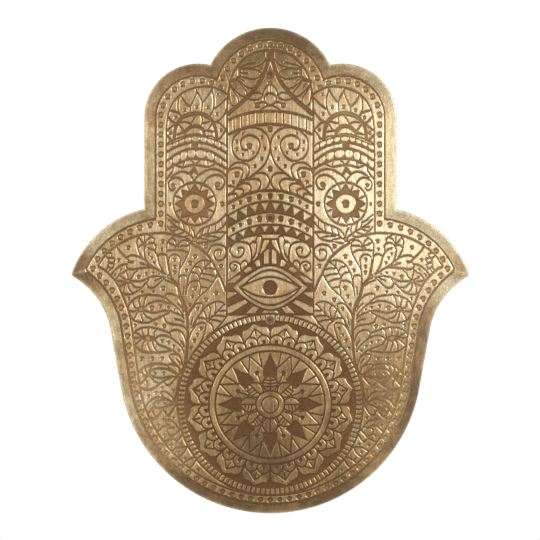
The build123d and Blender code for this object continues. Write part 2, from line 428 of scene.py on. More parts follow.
def even_outline(inset):
    """Right half of the outline moved evenly inwards by inset, from the top to the palm's bottom."""
    lean = math.radians(PALM_SIDE_LEAN)
    outwards = np.array([math.cos(lean), math.sin(lean)])
    hollow_x = (PALM[2] + HOLLOW_RADIUS + (PALM[1] - HOLLOW_DROP) * math.sin(lean)) / math.cos(lean)
    middle, outer, thumb, palm = (np.array(c[:2]) for c in (MIDDLE_FINGER, OUTER_FINGER, THUMB, PALM))
    middle_radius, outer_radius, thumb_radius, palm_radius = (
        c[2] - inset for c in (MIDDLE_FINGER, OUTER_FINGER, THUMB, PALM)
    )
    hollow = np.array([hollow_x, HOLLOW_DROP])
    hollow_radius = HOLLOW_RADIUS + inset

    top = np.array([0, middle[1] - middle_radius])
    notch = crossing(middle, middle_radius, outer, outer_radius, -1)
    side = np.array([outer[0] + outer_radius, outer[1]])
    thumb_notch = np.array([side[0], thumb[1] - math.sqrt(thumb_radius**2 - (side[0] - thumb[0]) ** 2)])
    tip = crossing(thumb, thumb_radius - THUMB_TIP_RADIUS, hollow, hollow_radius + THUMB_TIP_RADIUS, -1)
    tip_start = thumb + (tip - thumb) * thumb_radius / np.linalg.norm(tip - thumb)
    tip_end = hollow + (tip - hollow) * hollow_radius / np.linalg.norm(tip - hollow)
    hollow_end = hollow - outwards * hollow_radius
    palm_start = palm + outwards * palm_radius
    bottom = np.array([0, palm[1] + palm_radius])

    return np.concatenate([
        round_run(middle, top, notch, RUNS[0]),
        round_run(outer, notch, side, RUNS[1]),
        side + (thumb_notch - side) * (np.arange(RUNS[2]) / RUNS[2])[:, None],
        round_run(thumb, thumb_notch, tip_start, RUNS[3]),
        round_run(tip, tip_start, tip_end, RUNS[4]),
        round_run(hollow, tip_end, hollow_end, RUNS[5]),
        hollow_end + (palm_start - hollow_end) * (np.arange(RUNS[6]) / RUNS[6])[:, None],
        round_run(palm, palm_start, bottom, RUNS[7]),
        [bottom],
    ])


def whole_outline(inset):
    """Closed outline of the hand moved inwards by inset."""
    right = half_outline(inset)
    left = right[-2:0:-1] * [-1, 1]
    return np.concatenate([right, left])


def spaced(points, count):
    """Places that divide the run of points into count equal steps, both ends included."""
    lengths = np.concatenate([[0], np.cumsum(np.linalg.norm(np.diff(points, axis=0), axis=1))])
    at = np.linspace(0, lengths[-1], count + 1)
    return np.stack([np.interp(at, lengths, points[:, i]) for i in (0, 1)], axis=1)


def border(art):
    """Two lines along the rim with dots between them."""
    art.straight(half_outline(BORDER_LINE))
    path = half_outline(BORDER_DOTS)
    for first, last, count in zip(CORNERS[:-1], CORNERS[1:], BORDER_DOTS_BETWEEN):
        for x, drop in spaced(path[first : last + 1], count):
            art.dot(x, drop, BORDER_DOT_RADIUS)
    art.line([(26.6, 42), (30, 39.4), (35, 37.2), (41, 36.4), (50, 38), (56, 41), (60.5, 45.5), (64, 53),
              (65.5, 63)])
    art.straight([(65.5, 63), (66, 128.8)])
    art.line([(49, 134.4), (54.3, 131.6), (58.8, 130.4), (66.3, 128.9), (75, 129.2), (85, 131), (95, 135.8),
              (103, 142), (108.5, 149.8)])
    art.line([(108.5, 149.8), (105, 151.8), (102, 154.4), (97, 160.4), (91.5, 172.4)])
    inside = half_outline(INNER_LINE)
    art.straight(inside[inside[:, 1] > INNER_LINE_DROP])


def middle_panel(art):
    """Frame of the panel that runs from the middle finger to the mandala."""
    art.line([(0, 13.7), (6, 14), (12, 15.9), (16, 18.7), (23.2, 28), (26.7, 43), (27.2, 52)], BOLD)
    art.straight([(PANEL, 52), (PANEL, 181)], FRAME)


def finger_flower(art):
    """Forked stem and half flower in the middle finger's round end."""
    art.hollow([(-2.6, 13.6), (2.5, 13.6), (2.5, 20.5), (-2.6, 20.5)])
    art.line([(1.2, 19.6), (2.9, 25.5), (4.7, 30.2), (7.2, 34.6), (14, 42.8), (26.6, 53.8)], width=2.6)
    art.straight([(19.2, 24.6), (19.2, 30.3)], width=2)
    art.line([(19.2, 30.3), (21.5, 32), (25.6, 33.4)], width=2)
    art.lines(
        FINE,
        [(2.7, 19.2), (4.2, 21.3), (7, 23.2), (11, 24.6), (18.5, 24.9)],
        [(9.2, 21.2), (14, 22.2), (18.5, 23.8)],
        [(18.3, 25.4), (11, 25.3), (7.5, 26.4), (5.8, 28.2), (7, 30.6), (10, 31.7), (18.5, 30.4)],
        [(14.2, 28.1), (17.8, 28)],
        [(8, 33), (9, 36), (11.5, 37.7), (15, 36.7), (20.3, 32)],
        [(16.3, 33.4), (18.6, 31.8)],
        [(20.6, 32.6), (17.5, 36.5), (15.2, 39.5), (14.7, 41.6), (16.5, 42.8), (19.5, 41.6), (23, 38),
         (25.6, 34.5)],
        [(21, 36.8), (22.8, 34.4)],
        [(25.4, 36), (22.5, 40.5), (20.5, 43.5), (20, 46), (20.5, 48.4), (22.5, 49.2), (24.7, 47.4),
         (25.6, 44), (26, 39)],
    )


def finger_trefoil(art):
    """Trefoil under the forked stem, with the row of tall blocks below it."""
    art.dot(0, 34.5, 1.6)
    art.loop(circle((0, 44.5), 3.8))
    art.straight([(0, 36), (0, 40.4)], FINE)
    art.lines(
        FINE,
        [(0.9, 35), (2.7, 37), (4.4, 40), (4.7, 42.4)],
        [(4.6, 42.2), (6, 40.8), (8, 40.2), (10.8, 40.8)],
        [(4.8, 42.4), (6.2, 43.9), (9, 45), (13.4, 44.4)],
        [(3.4, 46.3), (5.6, 46.3), (7.4, 47.6)],
        [(-6.4, 51.7), (-3, 49.1), (0, 48.5), (3, 49.1), (6.4, 51.7)],
    )
    art.dot(8.2, 48.2, 1.75)
    upper = [(-2, 52), (10, 52.6), (20, 55), (27, 57.8)]
    lower = [(-2, 60.2), (0, 60.2), (10, 61.2), (20, 64), (27, 66.9)]
    art.line(upper, FRAME)
    art.line(lower, FRAME)
    for x, start, end in ((3.8, 52, 60.3), (8.4, 52.3, 61), (13.3, 53.2, 62), (18, 54.3, 63.3),
                          (22.8, 56, 65.2)):
        art.straight([(x, start), (x, end)], FINE)
    art.dot(0, 63.4, 1.8)


def scroll(art):
    """Large S-scroll with its curl, and the drop beside its tail."""
    art.line([(0.2, 77), (0.2, 74), (0.9, 70), (3, 66), (8, 62.6), (13.5, 62.2), (19.4, 64.9), (23.4, 70),
              (23.8, 76.5), (22.7, 79.4), (20.5, 81.8), (17.5, 83.2), (14.5, 83.4), (11.5, 82.2), (9, 80),
              (7.2, 77.2), (6.4, 74.3), (7, 71.2), (8.6, 68.9), (11, 67.5), (13.5, 67.2), (16, 68), (18, 70),
              (18.6, 72.8), (18, 75), (16.5, 76.4), (14.2, 76.4)])
    art.dot(13.1, 74.1, 1.9)
    art.line([(0.2, 76), (1, 80), (3, 85), (6, 88.4), (13, 94), (15.5, 95.5), (21.5, 100.5), (24, 103.3),
              (27, 105.6)])
    art.dots(0.9, (17, 65.9), (5.2, 68.5), (21.1, 71.2), (20.9, 76.2), (3.3, 75.7), (10.6, 78.2),
             (17.1, 79.3))
    art.dots(1.1, (5.2, 82), (9.5, 86.7))
    art.dot(0, 88.4, 1.75)
    art.lines(
        LINE,
        [(27, 90), (25, 87.3), (22.5, 85), (19, 84.3), (16, 84.8), (14, 86.5), (13.2, 89), (13.8, 92),
         (18, 97.8), (20.5, 99.5)],
        [(27, 90.3), (24, 88.3), (21, 87.7), (18.5, 88.2), (17.3, 90), (17.5, 92.5), (21, 100), (22.8, 102)],
        [(22.8, 100.2), (24.5, 99.2), (27, 99.3)],
    )
    art.hollow([(15.3, 94.6), (18.2, 95.2), (20.9, 100), (19.4, 99.2), (17, 96.8)])
    art.hollow([(24.5, 88.3), (27.2, 89.5), (27.2, 93.5), (26, 91)])
    art.dot(21, 91.9, 1.7)
    art.dot(23.3, 96.8, 1.1)


def scallops(art):
    """Five small scallops under the scroll's tail."""
    art.lines(
        LINE,
        [(9.5, 91.2), (5.5, 90.8), (2.5, 92), (0.9, 94.6), (0.5, 97), (1.5, 99.8), (3.5, 101.8)],
        [(14.5, 95.2), (11, 94.6), (8, 95), (6.3, 96.8), (6, 99), (6.8, 101), (7.8, 102.4)],
        [(19.5, 98.2), (16.5, 97.4), (13.8, 97.8), (12.3, 99.5), (12.2, 101.5), (13, 103.5)],
        [(22.7, 101.2), (20.5, 100.7), (18.3, 101), (17, 102.5), (17, 104), (17.7, 105.5)],
        [(26.5, 105), (24, 104), (22, 104), (21, 105.2), (20.9, 107)],
    )


def toothed_arc(art, upper, lower, teeth):
    """Band between two curves, etched away but for a row of teeth that hang from the upper one."""
    outer = smooth(upper)
    inner = smooth(lower)
    art.hollow(np.concatenate([outer, inner[::-1]]))
    for tooth in teeth:
        art.stand(tooth)


def arches(art):
    """Arched bands over the eye: two rows of dots and two of teeth."""
    art.line([(-2, 102), (5, 102.2), (15, 104.5), (27, 110.3)], BOLD)
    art.dots(1.75, (0, 105.5), (6.9, 105.9), (13.3, 107.5))
    art.dots(1.15, (18.7, 109.4), (23.1, 112.3))
    toothed_arc(
        art,
        [(-3, 108.5), (5, 108.7), (15, 111.2), (27, 117.6)],
        [(-3, 116.2), (0, 116.1), (5, 116.5), (15, 119.3), (27, 126)],
        [
            [(-0.7, 109.4), (-3, 115.2), (-5.8, 110.3)],
            [(0.7, 109.4), (6.2, 109.9), (3.2, 115.2)],
            [(7.5, 110), (13.4, 111.6), (9.3, 116)],
            [(14.6, 112), (19.7, 114.4), (15, 118)],
            [(20.9, 115), (26.3, 118.2), (21.3, 121.2)],
        ],
    )
    art.dots(1.8, (6.7, 119.9), (13.2, 121.7))
    art.dots(1.25, (18.7, 123.7), (23.2, 126.6))
    toothed_arc(
        art,
        [(-3, 123), (5, 123.3), (15, 125.5), (20, 127.7), (27, 131.5)],
        [(-3, 129.4), (5, 129.7), (10, 130.7), (15, 131.8), (20, 134.2), (27, 139)],
        [
            [(-0.8, 124.2), (-3.4, 128.6), (-6, 124.3)],
            [(0.8, 124.2), (6, 124.3), (3.4, 128.6)],
            [(8, 124.6), (13, 125.6), (10, 129.2)],
            [(15, 126.4), (20, 128.5), (16.8, 131.2)],
            [(21.6, 129.5), (25.6, 131.6), (22.3, 134)],
        ],
    )


def palmette(art):
    """Fan of petals, curls and blocks on an etched ground above the eye."""
    art.hollow([
        (-1, 132.4), (4.8, 132.4), (5.2, 130.8), (6.6, 129.9), (8.3, 130.6), (9.3, 133.6), (10.8, 133.8),
        (12.7, 135.4), (12.9, 137.5), (12, 142), (12.2, 146.4), (14.4, 148.8), (15.4, 149.4), (18.6, 152.8),
        (27, 158.8), (27, 161), (-1, 161),
    ])
    for petal in (
        [(1, 134.5), (1.6, 133.2), (3.2, 133), (4.2, 134.5), (4.9, 137.5), (6.3, 141.9), (2.6, 138.2)],
        [(5.7, 132.6), (6.2, 131.2), (7.2, 131), (8.2, 132.2), (8.5, 134.6), (8.2, 138), (8.7, 142),
         (11.2, 146.7), (7.9, 143), (6, 136.4)],
        [(8.9, 137.2), (9.3, 135.6), (10.6, 134.9), (11.9, 135.6), (12.2, 137.6), (11, 143.6), (9.2, 140.4)],
        [(15.2, 148.8), (15.8, 147.3), (17, 147.6), (18, 149.3), (17.9, 151.6), (16.6, 150.6)],
    ):
        art.stand(smooth(petal, closed=True))
    for block in (
        [(1.1, 139.3), (1.7, 138.9), (3.8, 141.2), (3.8, 148.5), (1.1, 148.2)],
        [(7, 145.7), (8.1, 145.7), (10, 147.8), (8.3, 150.3), (6.4, 149.8)],
        [(13, 150.1), (14, 150.2), (17, 152.9), (15.1, 154.3), (11.3, 151.9)],
        [(18.4, 156.2), (19.6, 155.4), (22, 156.5), (26.8, 159.9), (26.8, 160.2), (22.2, 160.2)],
    ):
        art.stand(block)
    art.lines(
        LINE,
        [(12, 147), (11.7, 143.2), (13.4, 136.2), (15.4, 134.9), (20.4, 134.2), (22.8, 135.5), (25.4, 140.2),
         (24.2, 142.7), (22, 144), (20, 144.2), (18, 143.4), (16.8, 141.8), (16.5, 140), (17.2, 138.5),
         (18.6, 137.9), (19.9, 138.5), (20.3, 139.6), (20, 141)],
        [(14.4, 148.8), (14.9, 147), (16.1, 146.2), (17.6, 147.2), (18.6, 149.2), (18.5, 152.6)],
        [(18.5, 152.6), (18.7, 150.2), (19.4, 148.4), (21, 147.2), (23, 147), (24.8, 148.2), (25.4, 150),
         (24.8, 151.9), (23, 152.6), (21.6, 151.6), (21.2, 150.2), (21.8, 149), (22.7, 149)],
    )


def eye(art):
    """Almond eye with its lids and pupil, and the rays below it."""
    upper = [(-4, 150.2), (0, 149.6), (5, 150.5), (15, 156.4), (20, 160.6), (23.4, 163.2)]
    lower = [(23.4, 163.2), (20.5, 166), (10, 173.6), (5, 176), (0, 177.1), (-4, 176.4)]
    art.hollow([(-1, 160.4), (PANEL, 160.4), (PANEL, 180.2), (-1, 180.2)])
    art.stand(np.concatenate([smooth(upper), smooth(lower)]))
    art.lines(
        LINE,
        [(-5, 153.2), (0, 152.2), (5, 153.2), (10, 156), (16.5, 161.2), (19.5, 163.1)],
        [(-5, 157.2), (0, 156.5), (5, 157.2), (14, 160.6), (17, 162.2), (19, 163.1)],
        [(19, 163.1), (14, 166), (10, 167.8), (5, 169), (0, 169.3), (-5, 169)],
        [(19.5, 163.1), (16.3, 166.6), (12, 170), (4, 173.8), (0, 174.2), (-4, 173.8)],
    )
    art.dot(0, 163.3, 4.7)
    for ray in (
        [(21, 167), (22.3, 166), (26.8, 165.9), (26.8, 170.3), (25.5, 169.7)],
        [(14.2, 172.8), (16, 171), (17.5, 171.3), (26.8, 175.6), (26.8, 179.6), (24.6, 179.2)],
        [(7.2, 176), (10.6, 174.9), (15.2, 179.5), (9.6, 179.5)],
        [(-1, 177.9), (3.6, 177.6), (5.2, 179.5), (-1, 179.6)],
    ):
        art.stand(ray)
    art.straight([(0, 180.4), (PANEL, 180.4)], FINE)


def outer_arch(art):
    """Round-headed arch with petals about it in the outer finger."""
    art.line(
        [(33.7, 69.8), (34.2, 65), (35.6, 60.4), (38, 56.7), (41.5, 54.4), (45, 53.5), (51.2, 54.1),
         (54.6, 55.7), (57.4, 58.3), (59.3, 61.6), (60.2, 65.6), (60.5, 69.8)],
        width=2.4,
    )
    art.line([(41.4, 68), (41.9, 65.4), (43.3, 62.9), (45.4, 61.6), (49.6, 61.8), (53.2, 65),
              (53.9, 67.6)], width=2.1)
    art.line([(42.6, 67.4), (46, 66.8), (49, 66.8), (52.6, 67.5)])
    art.lines(
        LINE,
        [(27.5, 43.7), (31, 47.4), (35.2, 50.5)],
        [(27.2, 50), (28.8, 54), (32.4, 57.9), (35, 59)],
        [(36.6, 37.6), (36.4, 40.2), (35.5, 44), (36, 51.6), (38.2, 55.6)],
        [(36.6, 37.6), (38.4, 41.2), (40.6, 44.4), (42.6, 46.8), (43, 50), (43.4, 53.4)],
        [(46.8, 37.6), (46, 40), (44, 43.6), (42.7, 46.8)],
        [(46.2, 39.4), (47.4, 43), (48.9, 46.4), (50.2, 49.2), (50.4, 53.6)],
        [(56, 41.4), (55.6, 43.6), (52, 48.2), (50.3, 49.2)],
        [(57, 41.6), (57.9, 44.8), (58, 51.6), (56.4, 55)],
        [(57.6, 53.2), (60, 52.2), (63, 51.6)],
        [(64.2, 55.6), (62.6, 57.8), (60, 59.6)],
        [(30.2, 61.4), (32.2, 59.3), (35, 59)],
        [(27.5, 63.4), (28.9, 62.9), (30.2, 61.4)],
        [(28.2, 64.4), (30, 67), (31.2, 69), (33, 69.8)],
        [(60, 60), (62.4, 62.2), (65, 64.2)],
        [(65, 67.6), (63.6, 69), (61.6, 70.6)],
        [(61.6, 71), (63.4, 71.6), (65, 73)],
    )
    art.lines(
        FINE,
        [(43.3, 55), (42.9, 57.6), (43.4, 62.4)],
        [(46.4, 54.8), (48, 57), (50.4, 61.8)],
        [(38.4, 58.6), (40.8, 59.4), (43, 59.7)],
        [(49.8, 60), (52, 59.1), (54.2, 58.8), (57, 59.2)],
        [(57.3, 60.6), (56, 62.6), (54.2, 65)],
        [(53.8, 65.3), (57, 66.3), (60, 67.1)],
        [(36.8, 59.6), (38, 62.4), (39.4, 64), (41.6, 64.7)],
        [(34.8, 65.2), (37, 64.7), (39.4, 64.5)],
        [(34.6, 69.2), (36.4, 68.3), (38.6, 67.9), (41, 68)],
        [(54.2, 67.8), (56.6, 68.8), (59.6, 69.6)],
    )
    art.dots(1.05, (30.9, 63.9), (33.3, 53.8), (39.1, 49.5), (46.2, 49.3), (53.8, 51.4), (59.4, 56.1),
             (62.7, 65.8))
    art.dot(33, 41.5, 0.7)


def puffy_row(art, upper, lower, cuts, gap=0.5, rounding=0.25):
    """Etched band between two curves with rounded blocks left standing between the cuts."""
    top = smooth(upper)
    foot = smooth(lower)
    art.hollow(np.concatenate([top, foot[::-1]]))
    for left, right in zip(cuts[:-1], cuts[1:]):
        left, right = left + gap, right - gap
        corners = []
        for x, edge, shift in ((left, top, gap), (right, top, gap), (right, foot, -gap), (left, foot, -gap)):
            corners.append((x, float(np.interp(x, edge[:, 0], edge[:, 1])) + shift))
        corners = np.array(corners)
        rounded = []
        for before, here, after in zip(np.roll(corners, 1, axis=0), corners, np.roll(corners, -1, axis=0)):
            rounded += [here + (before - here) * rounding, here + (after - here) * rounding]
        art.stand(smooth(rounded, closed=True, parts=3))


def outer_bands(art):
    """Arched rows of rounded blocks under the outer finger's arch."""
    row_a = [(27.3, 74.2), (30, 72), (40, 68.2), (44.4, 67.4), (50, 67.4), (65.4, 73.4)]
    row_b = [(27.3, 79), (30, 77), (39, 72.9), (50, 71.9), (60, 75), (65.4, 78)]
    row_c = [(27.3, 84), (36, 78), (42, 76), (50, 75.7), (53, 76.5), (56, 77.4), (62, 81), (65.4, 83.6)]
    row_d = [(27.3, 89), (30, 87), (33, 85.5), (36, 84), (42, 82.3), (51, 82.3), (54, 83.4), (60, 86),
             (65.4, 89.4)]
    puffy_row(art, row_a, row_b, (27.3, 31, 35.2, 39.8, 44.2, 49.8, 53.8, 57.6, 61.4, 65.6))
    puffy_row(art, row_c, row_d, (27.3, 30.4, 35.1, 40.5, 46.9, 52.2, 56.8, 61.6, 65.6))
    art.lines(LINE, row_b, row_c, row_d)
    art.hollow([(45.2, 71.8), (50, 71.8), (50.2, 76.2), (45, 76.2)])
    art.line([(39, 87.4), (43, 86.5), (47.5, 86), (52, 86.6), (55.5, 87.7)])
    for zigzag in (
        [(34.5, 85), (36.6, 86.5), (38.8, 87.6), (39.9, 83.4)],
        [(43.8, 82.6), (47.4, 86.2), (50.2, 82.6)],
        [(53.7, 83.6), (55.3, 87.7), (59.5, 86)],
    ):
        art.straight(zigzag, FINE)


def outer_curls(art):
    """Pair of curls with a lozenge between them."""
    art.lines(
        LINE,
        [(27.3, 93.5), (31, 90), (35, 88.5), (39, 88.9), (45.5, 92.8), (47.5, 95.8)],
        [(42, 98.5), (40, 95), (37, 92.8), (34, 92.2), (31, 93), (29.2, 95.2), (29, 98), (30, 100.2),
         (32, 101.2), (33.8, 100.7), (34.6, 99)],
        [(48.6, 95.4), (50, 92.5), (52, 91), (54.5, 90.2), (57, 90.4), (62.5, 93.8)],
        [(54.6, 98.4), (55.6, 95.8), (58, 94), (61, 94.2), (63.5, 96.3), (64.1, 99), (63.2, 101),
         (61.5, 101.8), (60, 100.6)],
        [(61, 86.5), (61.5, 90), (63.5, 93), (65.4, 95)],
    )
    art.dot(33.1, 98.5, 1.7)
    art.dot(61.2, 98.9, 1.3)
    art.hollow([(47.7, 86.6), (51.6, 91.4), (48, 97), (45, 92.2)])
    art.stand([(47.9, 90.4), (49.6, 92.7), (47.9, 95.5), (46.2, 92.7)])


def sun(art):
    """Eight-pointed sun in a ring."""
    centre = (47.6, 110.5)
    art.hollow(circle(centre, 14))
    art.stand(circle(centre, 12.9))
    step = 360 / STAR_POINTS
    star = []
    for k in range(STAR_POINTS):
        star += [*turned([(12.8, 0)], step * k, centre), *turned([(8.4, 0)], step * (k + 0.5), centre)]
    art.hollow(star)
    for k in range(STAR_POINTS):
        art.straight(turned([(8.2, 0), (13, 0)], step * (k + 0.5), centre), FINE)
    art.boss(*centre, 6.2)
    art.dot(*centre, 2.4)
    art.dot(30.2, 110.5, 1.5)
    art.dot(63.3, 110.6, 0.9)


def sprays(art):
    """Leaf sprays that meet at the node under the sun."""
    art.lines(
        FINE,
        [(27.3, 116.5), (30, 119.5), (34, 122.5), (43, 126.3), (45.5, 129), (47, 131.5)],
        [(27.5, 121.5), (29, 124), (32, 126.7), (35, 128.3), (42.5, 130.3), (45.5, 132.5)],
        [(30.5, 120.4), (30.3, 125)],
        [(34, 122.8), (34.7, 127.8)],
        [(38, 124.6), (39.3, 129.2)],
        [(42, 126.3), (43.4, 130.5)],
        [(27.5, 128.5), (33, 128.2), (37, 129.2), (42, 130.4)],
        [(28.5, 129), (30.5, 131.5), (33, 133), (38, 134), (43, 135), (46.5, 135.2)],
        [(32, 132.3), (36, 130.8), (41, 130.6)],
        [(38.5, 133.8), (41, 132.7), (44, 131.8)],
        [(47.6, 132.6), (49.4, 131), (53.8, 127.8), (57.3, 125.8)],
        [(57.3, 122.2), (59.4, 121.5), (61, 120.5), (64.8, 117.5)],
        [(57.3, 125.8), (61.2, 123.3), (64.7, 119.9)],
        [(57.3, 122.2), (57.5, 123.8), (57.3, 125.8)],
        [(55.2, 122.8), (54.6, 125), (53.8, 127.8)],
        [(51.3, 124.6), (50.8, 127.4), (51, 129.4)],
        [(49.8, 125.4), (48.3, 128), (47.6, 131.2)],
        [(57.3, 125.8), (59.4, 125), (62.8, 125.1)],
        [(64.7, 125), (62.8, 127), (60, 129.8)],
        [(57.3, 126), (59.5, 127), (61.2, 127.7)],
        [(53.8, 127.8), (56.2, 129.2), (58.4, 129.8)],
        [(51, 129.6), (52.3, 130.7), (54.2, 131.4)],
    )
    art.dot(47.5, 133, 1.7)
    art.dot(40.5, 137, 1.5)


def rib_leaf_high(art):
    """Ribbed leaf between the panel and the main stem, with the curl above it."""
    art.line([(50, 135), (46, 137.5), (39, 143.5), (34.5, 151), (33, 154.5), (31, 158), (28.2, 165)], BOLD)
    art.line([(39.5, 141.8), (38, 138.8), (36, 136.6), (33, 136), (30, 136.8), (28.1, 139), (28, 143),
              (30, 145.5), (33, 146), (35, 144.5), (35.3, 142), (34.3, 139.8), (32.3, 139.2), (31, 140.2),
              (31.2, 141.8)])
    art.lines(
        FINE,
        [(37.5, 146.8), (40, 146), (43, 146.2), (46, 147.8), (50, 153.5), (52.3, 161), (53.2, 168)],
        [(33.6, 153), (33.6, 155.4), (37, 161.7), (40, 165), (44, 168.5), (50, 177), (52.3, 181)],
        [(41.2, 150), (42.5, 153), (44.5, 157), (44.5, 159.5), (43.8, 163), (44.5, 167.8)],
        [(37.4, 147.2), (40, 149.5), (41.2, 151)],
        [(41.7, 146.4), (41.2, 150)],
        [(48, 149.8), (45, 150.3), (43.2, 152.8)],
        [(34.5, 151.8), (38, 151), (40.8, 151.2)],
        [(50, 153.4), (47, 154), (45, 156.4)],
        [(33.8, 156.6), (37, 155.2), (42.6, 154.4)],
        [(36.2, 160.2), (39, 158.5), (44, 157.4)],
        [(38.6, 164), (41, 163), (43.8, 163)],
        [(44.8, 159), (48, 158.8), (51, 160.8), (52.5, 164)],
        [(53.1, 168), (52.3, 158), (53, 156), (55, 155.3), (57, 156.5), (57.3, 164), (56.3, 168)],
        [(54.5, 163), (54.8, 167.5)],
    )
    art.dots(1.35, (31, 149.6), (47.3, 143.6), (50.4, 147.7), (34, 166.8), (40.3, 170.8), (47.2, 163.5))
    art.dots(1.05, (52.8, 152.3), (48.9, 168.7), (50.5, 174))


def rib_leaf_low(art):
    """Ribbed leaf, bud and dotted leaf beside the mandala's shoulder."""
    art.lines(
        FINE,
        [(28.5, 174), (30.5, 172.4), (34, 172), (40, 175), (45, 181.5), (47.5, 185), (49.5, 189)],
        [(29, 173.8), (32, 177), (35.5, 181), (38.8, 183.4)],
        [(34.7, 172.4), (34.3, 178), (35.2, 180.6)],
        [(38.7, 174), (37.6, 178), (38.7, 183)],
        [(42, 177.5), (40, 183)],
        [(28, 177.8), (33, 177.8)],
        [(28, 181.5), (33, 180.8), (37, 181.4)],
        [(30, 185.3), (34, 183.8), (39, 183.4)],
        [(39.5, 183.4), (43, 182.3), (46, 182.7)],
        [(39.3, 184.4), (36.5, 187.5), (35.8, 190.5)],
        [(48, 188), (46, 183), (43, 178), (42.4, 174.6), (43.2, 173.3), (46, 173.2), (48, 175.5), (50.5, 179),
         (52, 183)],
        [(48.7, 182.3), (50, 187)],
        [(52.3, 201), (51, 195), (48.5, 189.5), (46, 186.5), (43, 185.3), (40.7, 186.2), (42, 194),
         (44.5, 199), (47.5, 203)],
        [(27, 181), (30, 185), (34, 189.5), (40, 194.5)],
    )
    art.dot(39.3, 183.8, 1.5)
    art.dots(1.1, (45.7, 176.5), (43.5, 189), (47.8, 196.5))
    art.dots(0.9, (45.8, 192.9), (49.8, 201.2))


def main_stem(art):
    """Stem that runs from the thumb's root down beside the mandala."""
    art.line([(63.5, 156.5), (60, 160), (58, 163.5), (57, 168), (54.5, 173), (53, 178), (52.2, 184),
              (52, 195), (52.7, 206), (54, 213), (56.5, 218.5)], width=1.8)
    art.line([(56.5, 218.5), (58.4, 226), (60.3, 236)])
    art.line([(58, 163), (62, 160), (66, 158.3)])
    art.dot(63.6, 156.5, 1.7)


def root_leaf(art):
    """Tall leaf over the stem's upper end, with a dotted leaf inside it."""
    art.lines(
        FINE,
        [(51.3, 135), (51, 140), (55, 148.5), (57, 152), (57.8, 157), (58, 162)],
        [(50.7, 135.6), (51.9, 134), (54, 133.1), (56.4, 134.4), (58.8, 138)],
        [(59.6, 130.2), (63.5, 133.5), (65, 136), (65, 145)],
        [(51.6, 136.8), (56.5, 137), (58.6, 138.4)],
        [(52, 141.2), (55, 139.7), (58.4, 139.5)],
        [(60, 139.4), (65, 140)],
        [(59.6, 137), (63.6, 135)],
        [(59, 137), (59.8, 134.2), (61.2, 132.4)],
        [(57.6, 156), (57, 150), (56.7, 146), (58, 143.2), (60, 142.2), (62.5, 143.2), (64, 146.5),
         (62.6, 156)],
    )
    art.dot(58.9, 138.5, 1.5)
    art.dots(1.1, (60.2, 145.5), (60, 150), (60, 153.6))
    art.dots(1.25, (67.7, 134), (89.3, 138))


def flower_leaf(art, node, radius, ribs, runs, dots):
    """Leaf whose round end carries curved ribs about a dark node."""
    art.dot(*node, radius)
    art.lines(FINE, *ribs)
    art.lines(LEAF, *runs)
    for dot in dots:
        art.dot(*dot)


def thumb_fan(art):
    """Fan leaf, buds and bead cluster in the thumb."""
    flower_leaf(
        art, (79.1, 136.2), 1.1,
        [
            [(75.3, 131.7), (77.2, 133.1), (78.8, 135.4)],
            [(79.4, 130.3), (79.2, 132.8), (79.2, 135.4)],
            [(82.2, 132.5), (81.1, 134), (79.6, 135.6)],
            [(73.2, 135.3), (75.6, 135), (77.6, 136.1), (78.6, 137.7)],
            [(82.8, 138), (81.5, 136.6), (80, 136.2)],
        ],
        [
            [(72.3, 140.8), (72, 137.5), (73.1, 135.3), (73.1, 133.2), (74.2, 131.5), (76.8, 130)],
            [(82.4, 131), (83.6, 133.2), (84, 136), (82.5, 141.6), (81, 144.2)],
            [(67, 154), (69.8, 149), (71, 144), (72.5, 141), (74.2, 139.2), (76.6, 138.4)],
            [(78.5, 137.6), (79.4, 139.8), (78.4, 145.6), (76.6, 148.8)],
            [(63.4, 155), (64.4, 149.5), (65.8, 142.9), (68, 142), (70.6, 143.2)],
            [(97, 136.8), (95.6, 139.6), (91, 144.4), (89.4, 146.2), (89.6, 148), (90.7, 149.4),
             (90.2, 151.4)],
            [(73.6, 150.2), (77.2, 148), (79.5, 145.5), (81.5, 144.2), (87.5, 142.9), (90.6, 144.6)],
            [(76.6, 149.6), (79.4, 148.4), (82, 147.8)],
            [(66, 154.8), (72, 151.2), (75, 150.4), (83, 151.2), (86, 151.7), (90.2, 151.4)],
            [(90, 148.6), (93, 148.9), (98, 152.6), (100.4, 155.8)],
            [(90, 152), (92, 153.3), (94, 154.5), (97.4, 158.6)],
            [(102.2, 144.6), (102, 147), (103, 152), (104.6, 152.4)],
            [(99, 150.8), (100.6, 151.6), (102.2, 153.8)],
        ],
        [(76.5, 141.9, 0.85), (74.6, 144.5, 0.85), (73, 147.7, 0.95), (68.2, 139, 0.9), (95.3, 145.8, 1.0),
         (94, 152, 0.85), (97.8, 155, 0.8)],
    )
    art.straight([(86.4, 147), (89.4, 147.1)], width=1.3)
    for x, drop in ((101.6, 143), (99.8, 146.2), (100.3, 149.4)):
        art.loop(circle((x, drop), 1.75), width=0.9)


